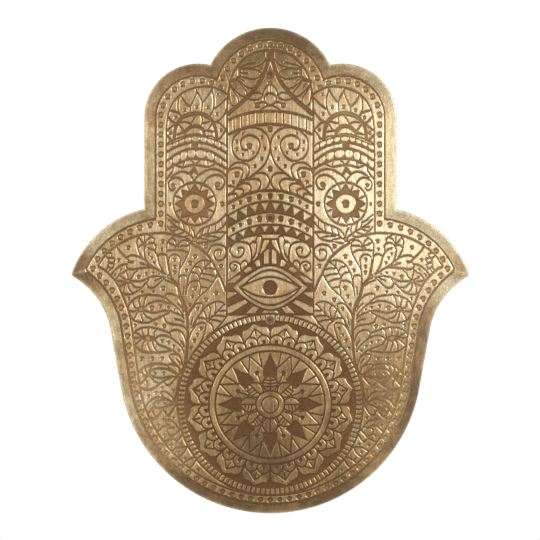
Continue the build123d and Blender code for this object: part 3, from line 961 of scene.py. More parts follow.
def thumb_leaf(art):
    """Long leaf that points into the thumb's back."""
    flower_leaf(
        art, (89.5, 159.3), 1.6,
        [
            [(83.4, 152.2), (85.5, 154.2), (86.6, 156.4), (88.6, 158.6)],
            [(90.2, 152), (90.4, 154.2), (89.9, 156), (89.4, 158.4)],
            [(94, 156.2), (92.5, 157.3), (90.4, 158.9)],
            [(97.6, 158.4), (95, 159.1), (90.8, 159.6)],
            [(95, 162.7), (93, 161.5), (90.4, 159.9)],
            [(92.2, 166.8), (91.9, 163), (90.6, 160.2)],
            [(86.6, 166.8), (88.5, 165), (89.4, 163), (89.4, 160.4)],
            [(81, 163.2), (84.4, 163.1), (86.4, 162), (88.2, 160)],
        ],
        [
            [(66, 157), (73, 156), (79, 158.4), (82, 159.2), (88.4, 159)],
            [(76, 157.4), (77.5, 159.7), (84, 165.7), (89, 167.5), (91.5, 167.3), (93.6, 166.4)],
            [(66.4, 157.2), (68, 158.6), (72, 162.5), (74, 163.4), (76, 163.2), (77.4, 162.2), (77.8, 160.4)],
            [(68.5, 157.2), (71, 158), (72.6, 159.1)],
        ],
        [(70, 154.8, 0.6), (73.5, 154.1, 0.85), (78, 154.6, 0.9), (82.8, 156.5, 1.2), (67.5, 163.5, 1.35),
         (73.5, 166, 0.95), (80.5, 166.3, 0.95), (89, 170, 0.85)],
    )


def palm_leaves(art):
    """Leaves that turn outwards from the stem on the side of the palm."""
    flower_leaf(
        art, (81.5, 176.8), 1.9,
        [
            [(77.4, 168.4), (78.9, 170.5), (79.3, 172.6), (80, 175.8)],
            [(81.9, 169.2), (82.7, 172), (82, 175.8)],
            [(86.3, 172), (86, 174.6), (84.9, 176), (83, 176.8)],
            [(89, 178), (86, 178.3), (82.8, 177.4)],
            [(85.7, 183.4), (83.3, 178.8), (82, 177.8)],
            [(79.9, 184.9), (81.2, 181.8), (81.5, 178.2)],
            [(74, 183.4), (78.6, 181.2), (80.4, 178)],
        ],
        [
            [(65.4, 170.2), (68, 168.9), (74, 167.8), (80, 168.1), (86, 170.7), (88, 173), (89.2, 175.6)],
            [(54.8, 181.2), (57, 177.6), (60, 174.8), (63, 172.6), (65.6, 170.2)],
            [(63.3, 173.2), (69.5, 171.5), (76, 173.2), (78.2, 174.9), (80, 176.2)],
            [(54.4, 182.6), (57, 180.4), (60, 179.2), (63, 178), (66, 177.7), (69, 178.2), (72, 179),
             (75, 179), (80, 177.4)],
            [(63.6, 178.8), (66.5, 180.5), (74, 184), (76, 185), (79, 185.4), (85, 184.4), (86.6, 183.4),
             (88.4, 181)],
            [(55, 176), (56.4, 171.6), (58.5, 169), (61, 167.5), (64, 167), (65.6, 167.8), (66, 169.8)],
            [(54.5, 178), (56, 175.6), (58.5, 173.5)],
            [(66.4, 180.6), (66.9, 182), (66.2, 184), (65, 185.2), (62, 186.2), (58, 186.7), (55, 187.6),
             (52.8, 189.8)],
            [(54.6, 185), (57, 183.6), (60, 183)],
        ],
        [(60.2, 177.2, 0.7), (64, 175.8, 0.95), (69, 174.8, 0.95), (74.5, 176, 1.4), (66.7, 187.5, 1.3),
         (72, 186.8, 1.05), (84.8, 187, 0.95)],
    )
    art.hollow(smooth([(71.8, 195.6), (75, 193.7), (78.5, 193.4), (82.4, 194.4), (78.5, 196.6),
                       (75, 197)], closed=True))
    flower_leaf(
        art, (77, 195), 1.2,
        [
            [(71, 189.2), (72.7, 191.4), (73.2, 194.6)],
            [(75.9, 188.3), (76.7, 190.5), (76.7, 194)],
            [(79.9, 188.5), (80.6, 190.6), (80.2, 193.8)],
            [(85.6, 191.4), (83.2, 192.5), (81.4, 194)],
            [(86.6, 195), (81.8, 194.8)],
            [(85.4, 199.8), (83, 197.5), (80.5, 195.4)],
            [(80.6, 203.4), (80.5, 201), (79.8, 198.5), (78, 195.8)],
            [(75.4, 203.9), (76.6, 201.5), (77.2, 199), (76.2, 195.8)],
            [(71.2, 203.8), (73.5, 200.6), (74.4, 196.2)],
        ],
        [
            [(63, 192.2), (66, 190.8), (75, 188.3), (81, 188.8), (84, 190.2), (86.4, 192.8)],
            [(54.6, 203.8), (56, 200.7), (60.5, 196.5), (63, 194.6), (68.6, 193.3), (72.4, 196),
             (71.6, 198.2), (69, 199.8), (66, 200.8), (58.5, 205), (56.6, 207.4)],
            [(61.2, 202.6), (64, 203.3), (72, 204.1), (80, 203.5), (83, 202), (85.6, 199.8)],
            [(53, 197), (55, 192.6), (57.5, 190.3), (60, 189.9), (62, 190.8), (63.1, 192.4), (62.6, 194.6)],
            [(54.4, 200.6), (55, 198.6), (56.5, 197)],
            [(55, 213), (56.4, 208.2), (58.5, 205.6), (61, 204.9), (63, 205.8), (63.3, 207.6), (62, 209.6),
             (59.6, 211.8), (57.2, 214.8)],
            [(57, 211.2), (59, 208.6)],
        ],
        [(57.5, 203, 0.9), (60.6, 200.2, 0.9), (64, 197.8, 0.95), (68, 196.8, 0.95), (68, 207.9, 1.05),
         (74, 207.9, 1.05), (80.8, 207.9, 1.05)],
    )


def low_palm_leaves(art):
    """Smaller leaves that follow the mandala down to the palm's round end."""
    flower_leaf(
        art, (56.8, 218.6), 1.4,
        [
            [(72.8, 211.4), (74.9, 213.4), (75.8, 216.8)],
            [(76.4, 212.2), (78, 214), (78.3, 216.4), (76.8, 218.6)],
            [(80.2, 214.4), (81, 216.4), (79.8, 218.4), (77, 219)],
            [(82, 225), (79.6, 222.2), (76.6, 218.8)],
            [(78.6, 221.2), (77.5, 223.8), (77.6, 227.2)],
            [(76.4, 219), (73.4, 222), (70.4, 223.6)],
        ],
        [
            [(64.2, 212.8), (67, 211.6), (73, 211.3), (79, 213.3), (81.5, 215.3), (83, 217.6)],
            [(58.6, 219), (61.5, 216.5), (65, 214.6), (71.5, 214.3), (74.5, 215.8), (76.4, 218.6)],
            [(58, 219.4), (62, 219.3), (68, 220.2), (71, 220), (76.4, 218.6)],
            [(62, 219.6), (66, 221.5), (69, 223.5), (72, 226), (75, 227.3), (78, 227.6), (81.6, 226.6)],
            [(57, 216.8), (58, 213.6), (60.5, 212), (63.5, 211.5), (64.6, 212.6), (63.6, 214.2),
             (60.6, 216.4), (58.4, 218.2)],
            [(59.2, 220.2), (63, 224.3), (65.4, 224.5), (67.2, 222.8)],
        ],
        [(67, 217.3, 0.9), (72.3, 217.3, 0.9), (60.9, 228, 0.9), (68, 226.7, 0.9), (72, 229.5, 0.95),
         (76.5, 231.7, 0.95)],
    )
    flower_leaf(
        art, (60.3, 236.1), 1.2,
        [
            [(67.2, 239.4), (70, 238.9), (72.6, 238.4), (73.2, 237)],
            [(72.8, 238.2), (74.6, 240.2), (76.6, 243)],
            [(74.5, 240.4), (73.7, 243), (72.4, 245)],
        ],
        [
            [(60.6, 235.2), (62.5, 231.8), (67, 228.6), (68.8, 229.3), (68.4, 231.2), (65.6, 233.4)],
            [(68.2, 232.8), (71, 232.3), (75.6, 234.8), (77.8, 237.8)],
            [(61, 235.8), (64, 234.2), (67, 233.6), (72.5, 235.8), (73.2, 237.4)],
            [(61, 236.6), (64, 237.3), (67, 239.2), (69, 242.6), (71.4, 244.9), (75.4, 246.2)],
            [(59.6, 237.8), (61.5, 241.3), (63.5, 243.5), (65.6, 243.4), (66.8, 241)],
        ],
        [(66.4, 236.4, 0.8), (70.6, 236.6, 0.85), (60.9, 245.4, 0.75), (66.8, 246.7, 1.0),
         (70.3, 250.2, 0.85)],
    )
    flower_leaf(
        art, (57.6, 253), 0.9,
        [
            [(60.4, 251.6), (63, 251.5), (65, 253.2), (64.4, 255.6), (61.8, 256.6)],
        ],
        [
            [(58.4, 251.6), (60.6, 248.7), (63.4, 246.9), (65.4, 247.4), (65.8, 249), (63.6, 250.6)],
            [(64.8, 250.3), (67, 250.7), (71.2, 254.6)],
            [(57.8, 254), (60, 256), (61.5, 258), (66.6, 260.8)],
            [(55.8, 256), (57.2, 258.8), (58.9, 260.4), (60.7, 259.2)],
        ],
        [(66.3, 256.5, 0.85), (56.3, 262, 0.85), (62.4, 262.7, 0.95)],
    )
    art.lines(
        LEAF,
        [(53.2, 263.6), (57, 263.7), (59.5, 264.8), (62.2, 266.8)],
        [(52.8, 264), (54, 267), (56, 269), (58.6, 270.5)],
        [(47.8, 270.2), (51, 271.3), (53, 272.7), (54.8, 274.5)],
        [(46.8, 271.8), (48.5, 275), (50.8, 277.2)],
    )
    art.dots(0.85, (57.8, 267.2), (53.6, 271), (45.2, 278.2))


def on_spoke(points, degrees):
    """Points on a spoke of the mandala, which is a little flatter than round."""
    places = turned(points, degrees, (0.0, MANDALA_DROP))
    places[:, 1] = MANDALA_DROP + (places[:, 1] - MANDALA_DROP) * MANDALA_FLATNESS
    return places


def around(radius, count=90):
    """Closed round line about the mandala's heart."""
    return np.concatenate([on_spoke([(radius, 0)], 360 * k / count) for k in range(count)])


def both_sides(half):
    """Outline of a form on a spoke from its right half: a point on the spoke itself is there once."""
    return half + [(out, -side) for out, side in reversed(half) if side]


def mandala(art):
    """Bead ring, sixteen petals and the plain ring about the mandala's star."""
    art.hollow(around(59.1, 120))
    bead = both_sides([(54.3, 0.95), (54.6, 1.05), (57.6, 1.1), (57.9, 1)])
    for k in range(BEADS):
        art.stand(on_spoke(bead, 360 * (k + 0.5) / BEADS))
    # The petal's outline has its sides in degrees from the axis, the arches in mm
    petal = both_sides([(38, 11.25), (44, 11.1), (46.6, 10.6), (48.8, 9.7), (50.2, 8), (50.7, 4.4), (53, 0)])
    arch = both_sides([(38.4, 3.8), (41, 4), (43.6, 3), (45.2, 0)])
    step = 360 / PETALS
    for k in range(PETALS):
        art.stand([on_spoke([(out, 0)], step * (k + 0.5) + side)[0] for out, side in petal])
    for k in range(PETALS):
        axis = step * (k + 0.5)
        art.straight(on_spoke([(38.5, 0), (46.5, 0)], step * k))
        art.straight(on_spoke([(45, -4.4), (49.8, 0), (45, 4.4)], axis), FINE)
        art.straight(on_spoke([(45.2, 0), (49, 0)], axis), FINE)
        for side in (-5.6, 5.6):
            art.line(on_spoke(arch, axis + side), FINE)
            art.straight(on_spoke([(38.4, 0), (40.8, 0)], axis + side), width=2.2)
    art.stand(around(38.2))
    art.loop(around(38.7))
    art.loop(around(34.6))


def mandala_star(art):
    """Star, kites and petals inside the mandala's plain ring."""
    spike = both_sides([(33.6, 0), (27.5, 2.3), (23.7, 4.4), (18, 4.6)])
    kite = both_sides([(33.8, 0), (22.6, 5.2), (17.6, 4.4), (14.8, 1.8)])
    petal = both_sides([(9.4, 3), (12.4, 4.6), (15.8, 4.1), (18.6, 0)])
    step = 360 / STAR_POINTS
    for k in range(STAR_POINTS):
        axis = step * (k + 0.5)
        art.hollow(on_spoke(spike, step * k))
        art.loop(on_spoke(kite, axis), FINE)
        art.dot(*on_spoke([(21.9, 0)], axis)[0], 1.45)
        art.straight(on_spoke([(21, 0), (14.8, 0)], axis), HAIR)
        for side in (-12, 12):
            art.straight(on_spoke([(34, 0), (25, 0)], step * k + side), FINE)
    for k in range(STAR_POINTS):
        art.stand(smooth(on_spoke(petal, step * k), closed=True))
        art.line(on_spoke(petal, step * k), FINE)
        art.straight(on_spoke([(9.6, 0), (18.4, 0)], step * k), FINE)
        for out in (11.4, 13.4, 15.4):
            art.straight(on_spoke([(out, 0), (out + 0.8, 4.4)], step * k), HAIR)
    art.stand(around(9))
    art.loop(around(9))
    art.loop(around(5.4), FINE)


def rivet_seats(art):
    """Plain metal about each rivet head, and the seat it fills."""
    for drop in RIVET_DROPS:
        art.boss(0, drop, RIVET_HEAD + RIVET_COLLAR)
        art.dot(0, drop, RIVET_HEAD + RIVET_GAP)


def draw_pattern():
    """The whole etched pattern."""
    art = Relief()
    for part in (
        border, middle_panel, finger_flower, finger_trefoil, scroll, scallops, arches, palmette, eye,
        outer_arch, outer_bands, outer_curls, sun, sprays, rib_leaf_high, rib_leaf_low, main_stem, root_leaf,
        thumb_fan, thumb_leaf, palm_leaves, low_palm_leaves, mandala, mandala_star, rivet_seats,
    ):
        part(art)
    return art


def crossings(v, right, below, first):
    """Places where a grid changes its sign to the neighbour right or below, and their numbers on the grid."""
    here = v[:v.shape[0] - below, :v.shape[1] - right]
    there = v[below:, right:]
    changes = (here > 0) != (there > 0)
    share = here[changes] / (here[changes] - there[changes])
    rows, cols = np.nonzero(changes)
    number = np.full(here.shape, -1)
    number[changes] = first + np.arange(len(rows))
    return np.stack([cols + share * right, rows + share * below], axis=1), number


def joined(pairs):
    """Closed runs through pairs of points, with each point in two pairs."""
    order = np.argsort(pairs.T.ravel(), kind="stable")
    beside = pairs[:, ::-1].T.ravel()[order].reshape(-1, 2).tolist()
    runs = []
    seen = bytearray(len(beside))
    for first in range(len(beside)):
        if seen[first]:
            continue
        run = [first]
        seen[first] = 1
        last, here = first, beside[first][0]
        while here != first:
            run.append(here)
            seen[here] = 1
            one, two = beside[here]
            last, here = here, (two if one == last else one)
        runs.append(run)
    return runs


def traced(field, level):
    """Closed lines on which the field has this level, in mm from the grid's first corner."""
    v = field - level
    v[v == 0] = NUDGE
    across, across_id = crossings(v, right=1, below=0, first=0)
    down, down_id = crossings(v, right=0, below=1, first=len(across))
    points = np.concatenate([across, down]) * STEP

    sides = np.stack([across_id[:-1], down_id[:, 1:], across_id[1:], down_id[:, :-1]], axis=-1)
    crossed = (sides >= 0).sum(axis=-1)
    plain = np.sort(sides[crossed == 2], axis=1)[:, 2:]
    # Where all four sides are crossed, the mean of the corners decides which of them are joined
    saddles = sides[crossed == 4]
    middle = v[:-1, :-1] + v[:-1, 1:] + v[1:, :-1] + v[1:, 1:]
    kept = ((middle > 0) == (v[:-1, :-1] > 0))[crossed == 4][:, None]
    first = np.where(kept, saddles[:, [0, 1]], saddles[:, [0, 3]])
    second = np.where(kept, saddles[:, [2, 3]], saddles[:, [1, 2]])
    return [points[run] for run in joined(np.concatenate([plain, first, second]))]


def thinned(loop):
    """Loop without the points that lie on a straight run."""
    for first in (0, 1) * 3:
        if len(loop) < FEWEST_POINTS:
            break
        before = np.roll(loop, 1, axis=0)
        chord = np.roll(loop, -1, axis=0) - before
        length = np.maximum(np.linalg.norm(chord, axis=1), TINY)
        step = loop - before
        gap = np.abs(chord[:, 0] * step[:, 1] - chord[:, 1] * step[:, 0]) / length
        drop = gap < TRACE_SLACK
        drop[1 - first::2] = False
        if len(loop) % 2:
            drop[-1] = False
        loop = loop[~drop]
    return loop


def loop_area(loop):
    """Area inside a closed loop."""
    after = np.roll(loop, -1, axis=0)
    return abs((loop[:, 0] * after[:, 1] - after[:, 0] * loop[:, 1]).sum()) / 2


def sampled(field, points):
    """Field between the grid points."""
    at = points / STEP
    col = np.clip(at[:, 0].astype(int), 0, field.shape[1] - 2)
    row = np.clip(at[:, 1].astype(int), 0, field.shape[0] - 2)
    u = at[:, 0] - col
    v = at[:, 1] - row
    upper = field[row, col] * (1 - u) + field[row, col + 1] * u
    lower = field[row + 1, col] * (1 - u) + field[row + 1, col + 1] * u
    return upper * (1 - v) + lower * v


def closed_edges(count, start=0):
    """Edges of a closed run of points."""
    return [(start + i, start + (i + 1) % count) for i in range(count)]


def filled(points, edges):
    """Triangles that keep the given edges: points, triangles, and the given points behind each point."""
    made, _, faces, origins, _, _ = delaunay_2d_cdt([Vector((x, -d)) for x, d in points], edges, [], 0, NUDGE)
    return np.array([(p.x, -p.y) for p in made]), np.array(faces), origins


def depth_lines(field, shift):
    """Closed lines at each depth of the etching, with their sink below the face."""
    lines = []
    for level, sink in ETCH_PROFILE:
        loops = [loop for loop in traced(field, level) if loop_area(loop) > SMALLEST_LOOP]
        lines += [(thinned(loop) - shift, sink) for loop in loops]
    return lines


def etched_face(field, bowls, foot):
    """Etched face inside foot: points, their sink, triangles with their finish, and the points along foot."""
    shift = np.array([(field.shape[1] - 1) / 2 * STEP, 0])
    runs = [(foot, 0.0)] + depth_lines(field, shift)
    edges = []
    sinks = []
    for run, sink in runs:
        edges += closed_edges(len(run), len(sinks))
        sinks += [sink] * len(run)
    places, faces, origins = filled(np.concatenate([run for run, _ in runs]), edges)
    levels, sinks_at = zip(*reversed(ETCH_PROFILE))
    sink = np.interp(sampled(field, places + shift), levels, sinks_at)
    foot_at = {}
    for i, source in enumerate(origins):
        if source:
            sink[i] = sinks[source[0]]
        foot_at.update((s, i) for s in source if s < len(foot))
    centres = places[faces].mean(axis=1)
    kept = is_inside(*centres.T, foot)
    depth = sampled(field, centres[kept] + shift)
    bowl = (sampled(bowls, centres[kept] + shift) > 0.5) & (depth < ETCH_PROFILE[-1][0])
    finish = np.select([depth > ETCH_PROFILE[0][0], depth > 0, bowl], [FACE, EDGE, FLOOR], GROUND)
    return places, sink, faces[kept], finish, [foot_at[i] for i in range(len(foot))]


def rim_profile():
    """Sections of the rim from the face over the lip to the back: inset, distance ahead of it, finish."""
    rise = (BACK_Y - EDGE_Y) / MM
    face = (BACK_Y - FACE_Y) / MM
    inset, fall = LIP_FRONT
    slope = [(RIM_FOOT - (RIM_FOOT - inset) * t, face + (rise - fall - face) * t, RIM) for t in FRONT_SLOPE]
    lip = [(inset, rise - fall, finish) for inset, fall, finish in LIP_SECTIONS]
    inset, fall = LIP_REAR
    back = [(inset + (RIM_BACK - inset) * t, (rise - fall) * (1 - t), BACK) for t in BACK_SLOPE]
    return slope + lip + back


def add_rim(points, polygons, slots, ring):
    """Adds the rim to the ring of points along the face, and gives the ring that ends it on the back."""
    for inset, ahead, finish in rim_profile():
        fresh = range(len(points), len(points) + len(ring))
        points += [(x * MM, BACK_Y - ahead * MM, TOP - d * MM) for x, d in whole_outline(inset)]
        polygons += [(ring[i], fresh[i], fresh[j], ring[j]) for i, j in closed_edges(len(ring))]
        slots += [finish] * len(ring)
        ring = fresh
    return ring


def add_back(polygons, slots, ring):
    """Closes the sheet with its flat back inside the ring."""
    rear = whole_outline(RIM_BACK)
    places, caps, origins = filled(rear, closed_edges(len(rear)))
    for cap in caps[is_inside(*places[caps].mean(axis=1).T, rear)]:
        polygons.append(tuple(ring[origins[c][0]] for c in reversed(cap)))
        slots.append(BACK)


def make_plate(*finishes):
    """The etched sheet with its turned-up rim, as one closed mesh."""
    places, sink, faces, finish, ring = etched_face(*draw_pattern().whole(), whole_outline(RIM_FOOT))
    points = [(x * MM, FACE_Y + s * MM, TOP - d * MM) for (x, d), s in zip(places, sink)]
    polygons = [tuple(face) for face in faces]
    slots = list(finish)
    add_back(polygons, slots, add_rim(points, polygons, slots, ring))

    mesh = bpy.data.meshes.new("etched_hand")
    mesh.from_pydata(points, [], polygons)
    for material in finishes:
        mesh.materials.append(material)
    mesh.polygons.foreach_set("material_index", slots)
    smooth_faces = [slot in (RIM, LIP, BACK) and len(p) == 4 for slot, p in zip(slots, polygons)]
    mesh.polygons.foreach_set("use_smooth", smooth_faces)
    lay_out(mesh, slots)
    mesh.update()
    plate = bpy.data.objects.new("etched_hand", mesh)
    bpy.context.collection.objects.link(plate)
    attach(plate, "plaque")
    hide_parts("hand_plate")


def lay_out(mesh, slots):
    """Flat layout of the plate for its surface colour: front on the left half, back on the right."""
    span = LAYOUT_SPAN * (plate_high.x - plate_low.x)
    layer = mesh.uv_layers.new(name="OFBake")
    co = np.empty(len(mesh.vertices) * 3)
    mesh.vertices.foreach_get("co", co)
    co = co.reshape(-1, 3)
    corner = np.empty(len(mesh.loops), dtype=int)
    mesh.loops.foreach_get("vertex_index", corner)
    totals = np.empty(len(mesh.polygons), dtype=int)
    mesh.polygons.foreach_get("loop_total", totals)
    rear = np.repeat(np.array(slots) == BACK, totals)
    u = (co[corner, 0] - plate_low.x) / span + LAYOUT_MARGIN + rear * 0.5
    v = (co[corner, 2] - plate_low.z) / span + LAYOUT_MARGIN
    layer.data.foreach_set("uv", np.stack([u, v], axis=1).ravel())


class Nodes:
    """Node tree to which nodes are added one by one."""

    def __init__(self, tree):
        self.nodes = tree.nodes
        self.links = tree.links

    def feed(self, socket, value):
        """Links a socket to another or sets its value."""
        if isinstance(value, bpy.types.NodeSocket):
            self.links.new(value, socket)
        else:
            socket.default_value = value

    def add(self, kind, inputs=(), **settings):
        """Outputs of a new node with these inputs and settings."""
        node = self.nodes.new("ShaderNode" + kind)
        for name, value in settings.items():
            setattr(node, name, value)
        for key, value in dict(inputs).items():
            self.feed(node.inputs[key], value)
        return node.outputs

    def math(self, operation, a, b):
        """Sum, product or the like of two values."""
        return self.add("Math", {0: a, 1: b}, operation=operation)[0]

    def spread(self, value, low, high, start=0.0, end=1.0, **settings):
        """Value that goes from low to high while the given one goes from start to end."""
        inputs = {"Value": value, "From Min": start, "From Max": end, "To Min": low, "To Max": high}
        return self.add("MapRange", inputs, **settings)["Result"]


class Shader(Nodes):
    """Material in the making, coloured by places on the object."""

    def __init__(self, name):
        self.material = bpy.data.materials.new(name)
        self.material.use_nodes = True
        super().__init__(self.material.node_tree)
        self.place = self.add("TexCoord")["Object"]

    def noise(self, scale, detail, roughness=0.5, stretch=(1, 1, 1)):
        """Cloudy noise."""
        place = self.add("Mapping", {"Vector": self.place, "Scale": stretch})["Vector"]
        inputs = {"Vector": place, "Scale": scale, "Detail": detail, "Roughness": roughness}
        return self.add("TexNoise", inputs)["Fac"]

    def ramp(self, value, places, colours):
        """Colour that changes with a value."""
        node = self.nodes.new("ShaderNodeValToRGB")
        elements = node.color_ramp.elements
        while len(elements) < len(places):
            elements.new(0.5)
        for element, place, colour in zip(elements, places, colours):
            element.position = place
            element.color = (*colour, 1)
        self.feed(node.inputs["Fac"], value)
        return node.outputs["Color"]

    def times(self, a, b):
        """Product of two colours."""
        return self.add("Mix", {0: 1.0, 6: a, 7: b}, data_type="RGBA", blend_type="MULTIPLY")[2]

    def bump(self, value, strength, distance):
        """Fine relief."""
        return self.add("Bump", {"Height": value, "Strength": strength, "Distance": distance})["Normal"]

    def patch(self, x, drop, wide, high, depth):
        """Soft round patch on the plate in mm: depth in its middle, falling to nothing at its edge."""
        across, up = 1 / (wide * MM), 1 / (high * MM)
        middle = (-x * MM * across, 0, (drop * MM - TOP) * up)
        inputs = {"Vector": self.place, "Scale": (across, 0, up), "Location": middle}
        spot = self.add("Mapping", inputs)["Vector"]
        near = self.add("TexGradient", {"Vector": spot}, gradient_type="SPHERICAL")["Fac"]
        return self.spread(near, 0, depth, interpolation_type="SMOOTHSTEP")

    def patched(self, share, patches):
        """Share of tarnish with patches added to it, which on the brass also paint light and shade."""
        for patch in patches:
            share = self.math("ADD", share, self.patch(*patch))
        return share

    def finished(self, inputs):
        """The material, with these inputs of its surface."""
        for key, value in inputs.items():
            self.feed(self.nodes["Principled BSDF"].inputs[key], value)
        return self.material


def linear(colours):
    """Linear colours of 8-bit ones."""
    return [
        tuple((c / 255 / 12.92) if c < 11 else ((c / 255 + 0.055) / 1.055) ** 2.4 for c in colour)
        for colour in colours
    ]


def greys(*levels):
    """Linear greys."""
    return [(level,) * 3 for level in levels]


def brass(name, colours, patches, roughness, metallic=0.95, mottle=0.15, wear=1.0):
    """Brushed brass with tarnish, and painted light and shade, in the given patches, cloudy mottles, grain
    and fine upright streaks.
    """
    s = Shader(name)
    clouds = s.noise(scale=34, detail=5, roughness=0.65)
    clouds = s.spread(clouds, LEAST_TARNISH, LEAST_TARNISH + CLOUDINESS * wear, *NOISE)
    mottles = s.spread(s.noise(scale=150, detail=4, roughness=0.7), -mottle, mottle, *NOISE)
    share = s.patched(s.math("ADD", clouds, mottles), patches)
    tone = s.ramp(share, (0.0, 0.6, 1.0), linear(colours))
    shades = greys(1 - GRAIN_DARK * wear, 1 + GRAIN_LIGHT * wear)
    grain = s.ramp(s.noise(scale=850, detail=4, roughness=0.7), (0.38, 0.62), shades)
    streaks = s.noise(scale=90, detail=4, stretch=(16, 16, 1))
    return s.finished({
        "Base Color": s.times(s.times(tone, grain), s.ramp(streaks, (0.36, 0.64), shades)),
        "Metallic": metallic,
        "Roughness": s.spread(share, roughness + POLISH, roughness + DULLNESS),
        "Coat Weight": 0.3,
        "Coat Roughness": 0.35,
        "Normal": s.bump(streaks, strength=0.15, distance=0.0002),
    })


def patina(name, colours):
    """Matt brown ground left by the etching, darkest down the middle and on the mandala."""
    s = Shader(name)
    clouds = s.spread(s.noise(scale=60, detail=5, roughness=0.65), 0.25, 0.6, *NOISE)
    tone = s.ramp(s.patched(clouds, GROUND_PATCHES), (0.0, 0.4, 1.0), linear(colours))
    grain = s.noise(scale=1100, detail=3, roughness=0.6)
    return s.finished({
        "Base Color": s.times(tone, s.ramp(grain, (0.36, 0.64), greys(0.76, 1.08))),
        "Metallic": 0.6,
        "Roughness": 0.52,
        "Specular IOR Level": 0.2,
        "Normal": s.bump(grain, strength=0.3, distance=0.0002),
    })


def rubber():
    """Matt dark bumper rubber."""
    s = Shader("bumper_rubber")
    grain = s.noise(scale=400, detail=3)
    return s.finished({
        "Base Color": s.ramp(grain, NOISE, linear(RUBBER_COLOURS)),
        "Roughness": 0.6,
        "Normal": s.bump(grain, strength=0.2, distance=0.0003),
    })


def floor_paint():
    """Pale matt paint."""
    s = Shader("floor_paint")
    return s.finished({
        "Base Color": s.ramp(s.noise(scale=6, detail=2), NOISE, greys(0.8, 0.86)),
        "Roughness": 0.9,
    })


def dress(name, material):
    """Puts a material on a CAD node."""
    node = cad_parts[name]
    node.data.materials.clear()
    node.data.materials.append(material)


def lay_floor():
    """Plain pale floor below the hand."""
    (left, right), (front, rear) = FLOOR_X, FLOOR_Y
    around_it = ((left, front), (right, front), (right, rear), (left, rear))
    mesh = bpy.data.meshes.new("floor")
    mesh.from_pydata([(x, y, FLOOR_LEVEL) for x, y in around_it], [], [(0, 1, 2, 3)])
    floor = bpy.data.objects.new("floor", mesh)
    bpy.context.collection.objects.link(floor)
    mesh.materials.append(floor_paint())


def area_light(name, place, target, size, power):
    """Soft lamp that the camera does not see."""
    data = bpy.data.lights.new(name, "AREA")
    data.shape = "RECTANGLE"
    data.size, data.size_y = size
    data.energy = power
    lamp = bpy.data.objects.new(name, data)
    lamp.location = place
    lamp.rotation_euler = (Vector(target) - Vector(place)).to_track_quat("-Z", "Y").to_euler()
    lamp.visible_camera = False
    bpy.context.collection.objects.link(lamp)


def surround():
    """World that is white where it is seen, and in reflections white behind the hand and dimmer elsewhere."""
    world = bpy.data.worlds.new("studio")
    bpy.context.scene.world = world
    world.use_nodes = True
    s = Nodes(world.node_tree)
    path = s.add("LightPath")
    way = s.add("SeparateXYZ", {0: s.add("TexCoord")["Generated"]})
    mirrored = s.math("MULTIPLY", path["Is Glossy Ray"], s.spread(way["Y"], 0, 1, *WHITE_BEHIND))
    seen = s.math("MAXIMUM", s.math("MAXIMUM", path["Is Camera Ray"], path["Is Transmission Ray"]), mirrored)
    lean = s.math("MULTIPLY", way["X"], ROOM_LEAN)
    sides = s.math("SUBTRACT", s.math("MULTIPLY", s.math("POWER", way["X"], 2), ROOM_SIDES), lean)
    ends = s.math("MULTIPLY", s.math("POWER", way["Z"], 2), ROOM_ENDS)
    room = s.math("ADD", s.math("SUBTRACT", sides, ends), ROOM_LEVEL)
    background = s.nodes["Background"].inputs
    s.feed(background["Strength"], s.math("MAXIMUM", room, seen))
    background["Color"].default_value = (1, 1, 1, 1)


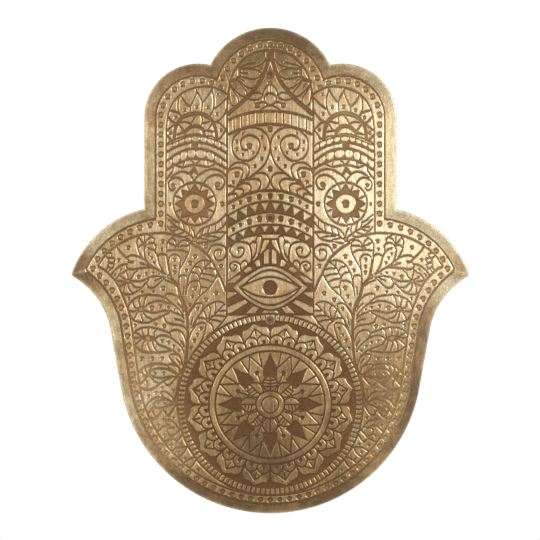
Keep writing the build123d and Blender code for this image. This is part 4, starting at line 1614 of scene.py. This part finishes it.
def take_aim():
    """Camera straight in front of the hand."""
    data = bpy.data.cameras.new("camera")
    data.sensor_width = SENSOR
    data.lens = SENSOR * VIEW_DISTANCE / VIEW_WIDTH
    camera = bpy.data.objects.new("camera", data)
    camera.location = (VIEW_X, FACE_Y - VIEW_DISTANCE, TOP - VIEW_DROP)
    camera.rotation_euler = (math.pi / 2, 0, 0)
    bpy.context.collection.objects.link(camera)
    bpy.context.scene.camera = camera


# The rim and lip take the face's and rim's patches of tarnish and painted light and shade
rim_stains_and_painted_light = FACE_TARNISH_AND_PAINTED_LIGHT + RIM_STAINS_AND_PAINTED_LIGHT
face_brass = brass("face_brass", (BRASS, TARNISH, DEEP), FACE_TARNISH_AND_PAINTED_LIGHT, roughness=0.38, metallic=0.9)
rim_brass = brass("rim_brass", (BRIGHT, TARNISH, DEEP), rim_stains_and_painted_light, roughness=0.5, metallic=0.45, mottle=0.2)
# Lip: lighter than the rim, real wear on the crest and a painted highlight along it
lip_wear_and_highlight = brass("lip_wear_and_highlight", (BRIGHT, BRASS, TARNISH), rim_stains_and_painted_light, roughness=0.45, metallic=0.6)
back_brass = brass("back_brass", (OLD_GOLD, TARNISH, DEEP), (), roughness=0.24, mottle=0.06, wear=0.35)
bar_brass = brass("bar_brass", (GOLD, OLD_GOLD, TARNISH), (), roughness=0.24, wear=0.5)
ring_brass = brass("ring_brass", (GOLD, OLD_GOLD, TARNISH), (), roughness=0.25, wear=0.4)
rivet_brass = brass("rivet_brass", (RIVET, DEEP, SOOT), RIVET_PATCHES, roughness=0.5, metallic=0.9)
edge_brass = brass("edge_brass", (RUBBED_AND_GLINT, TARNISH, DEEP), EDGE_TARNISH_AND_PAINTED_LIGHT, roughness=0.36, metallic=0.9)
ground = patina("etched_ground", GROUND_COLOURS)
ground_floor = patina("etched_floor", BOWL_COLOURS)
make_plate(face_brass, ground, rim_brass, back_brass, edge_brass, ground_floor, lip_wear_and_highlight)
dress("back_bar", bar_brass)
dress("hanging_ring", ring_brass)
for rivet in ("rivet_upper", "rivet_middle", "rivet_lower"):
    dress(rivet, rivet_brass)
bumper = rubber()
for corner in ("upper_left", "upper_right", "lower_left", "lower_right"):
    dress("bumper_" + corner, bumper)
lay_floor()
for lamp in LAMPS:
    area_light(*lamp)
surround()
take_aim()
bpy.context.scene.view_settings.view_transform = "Standard"
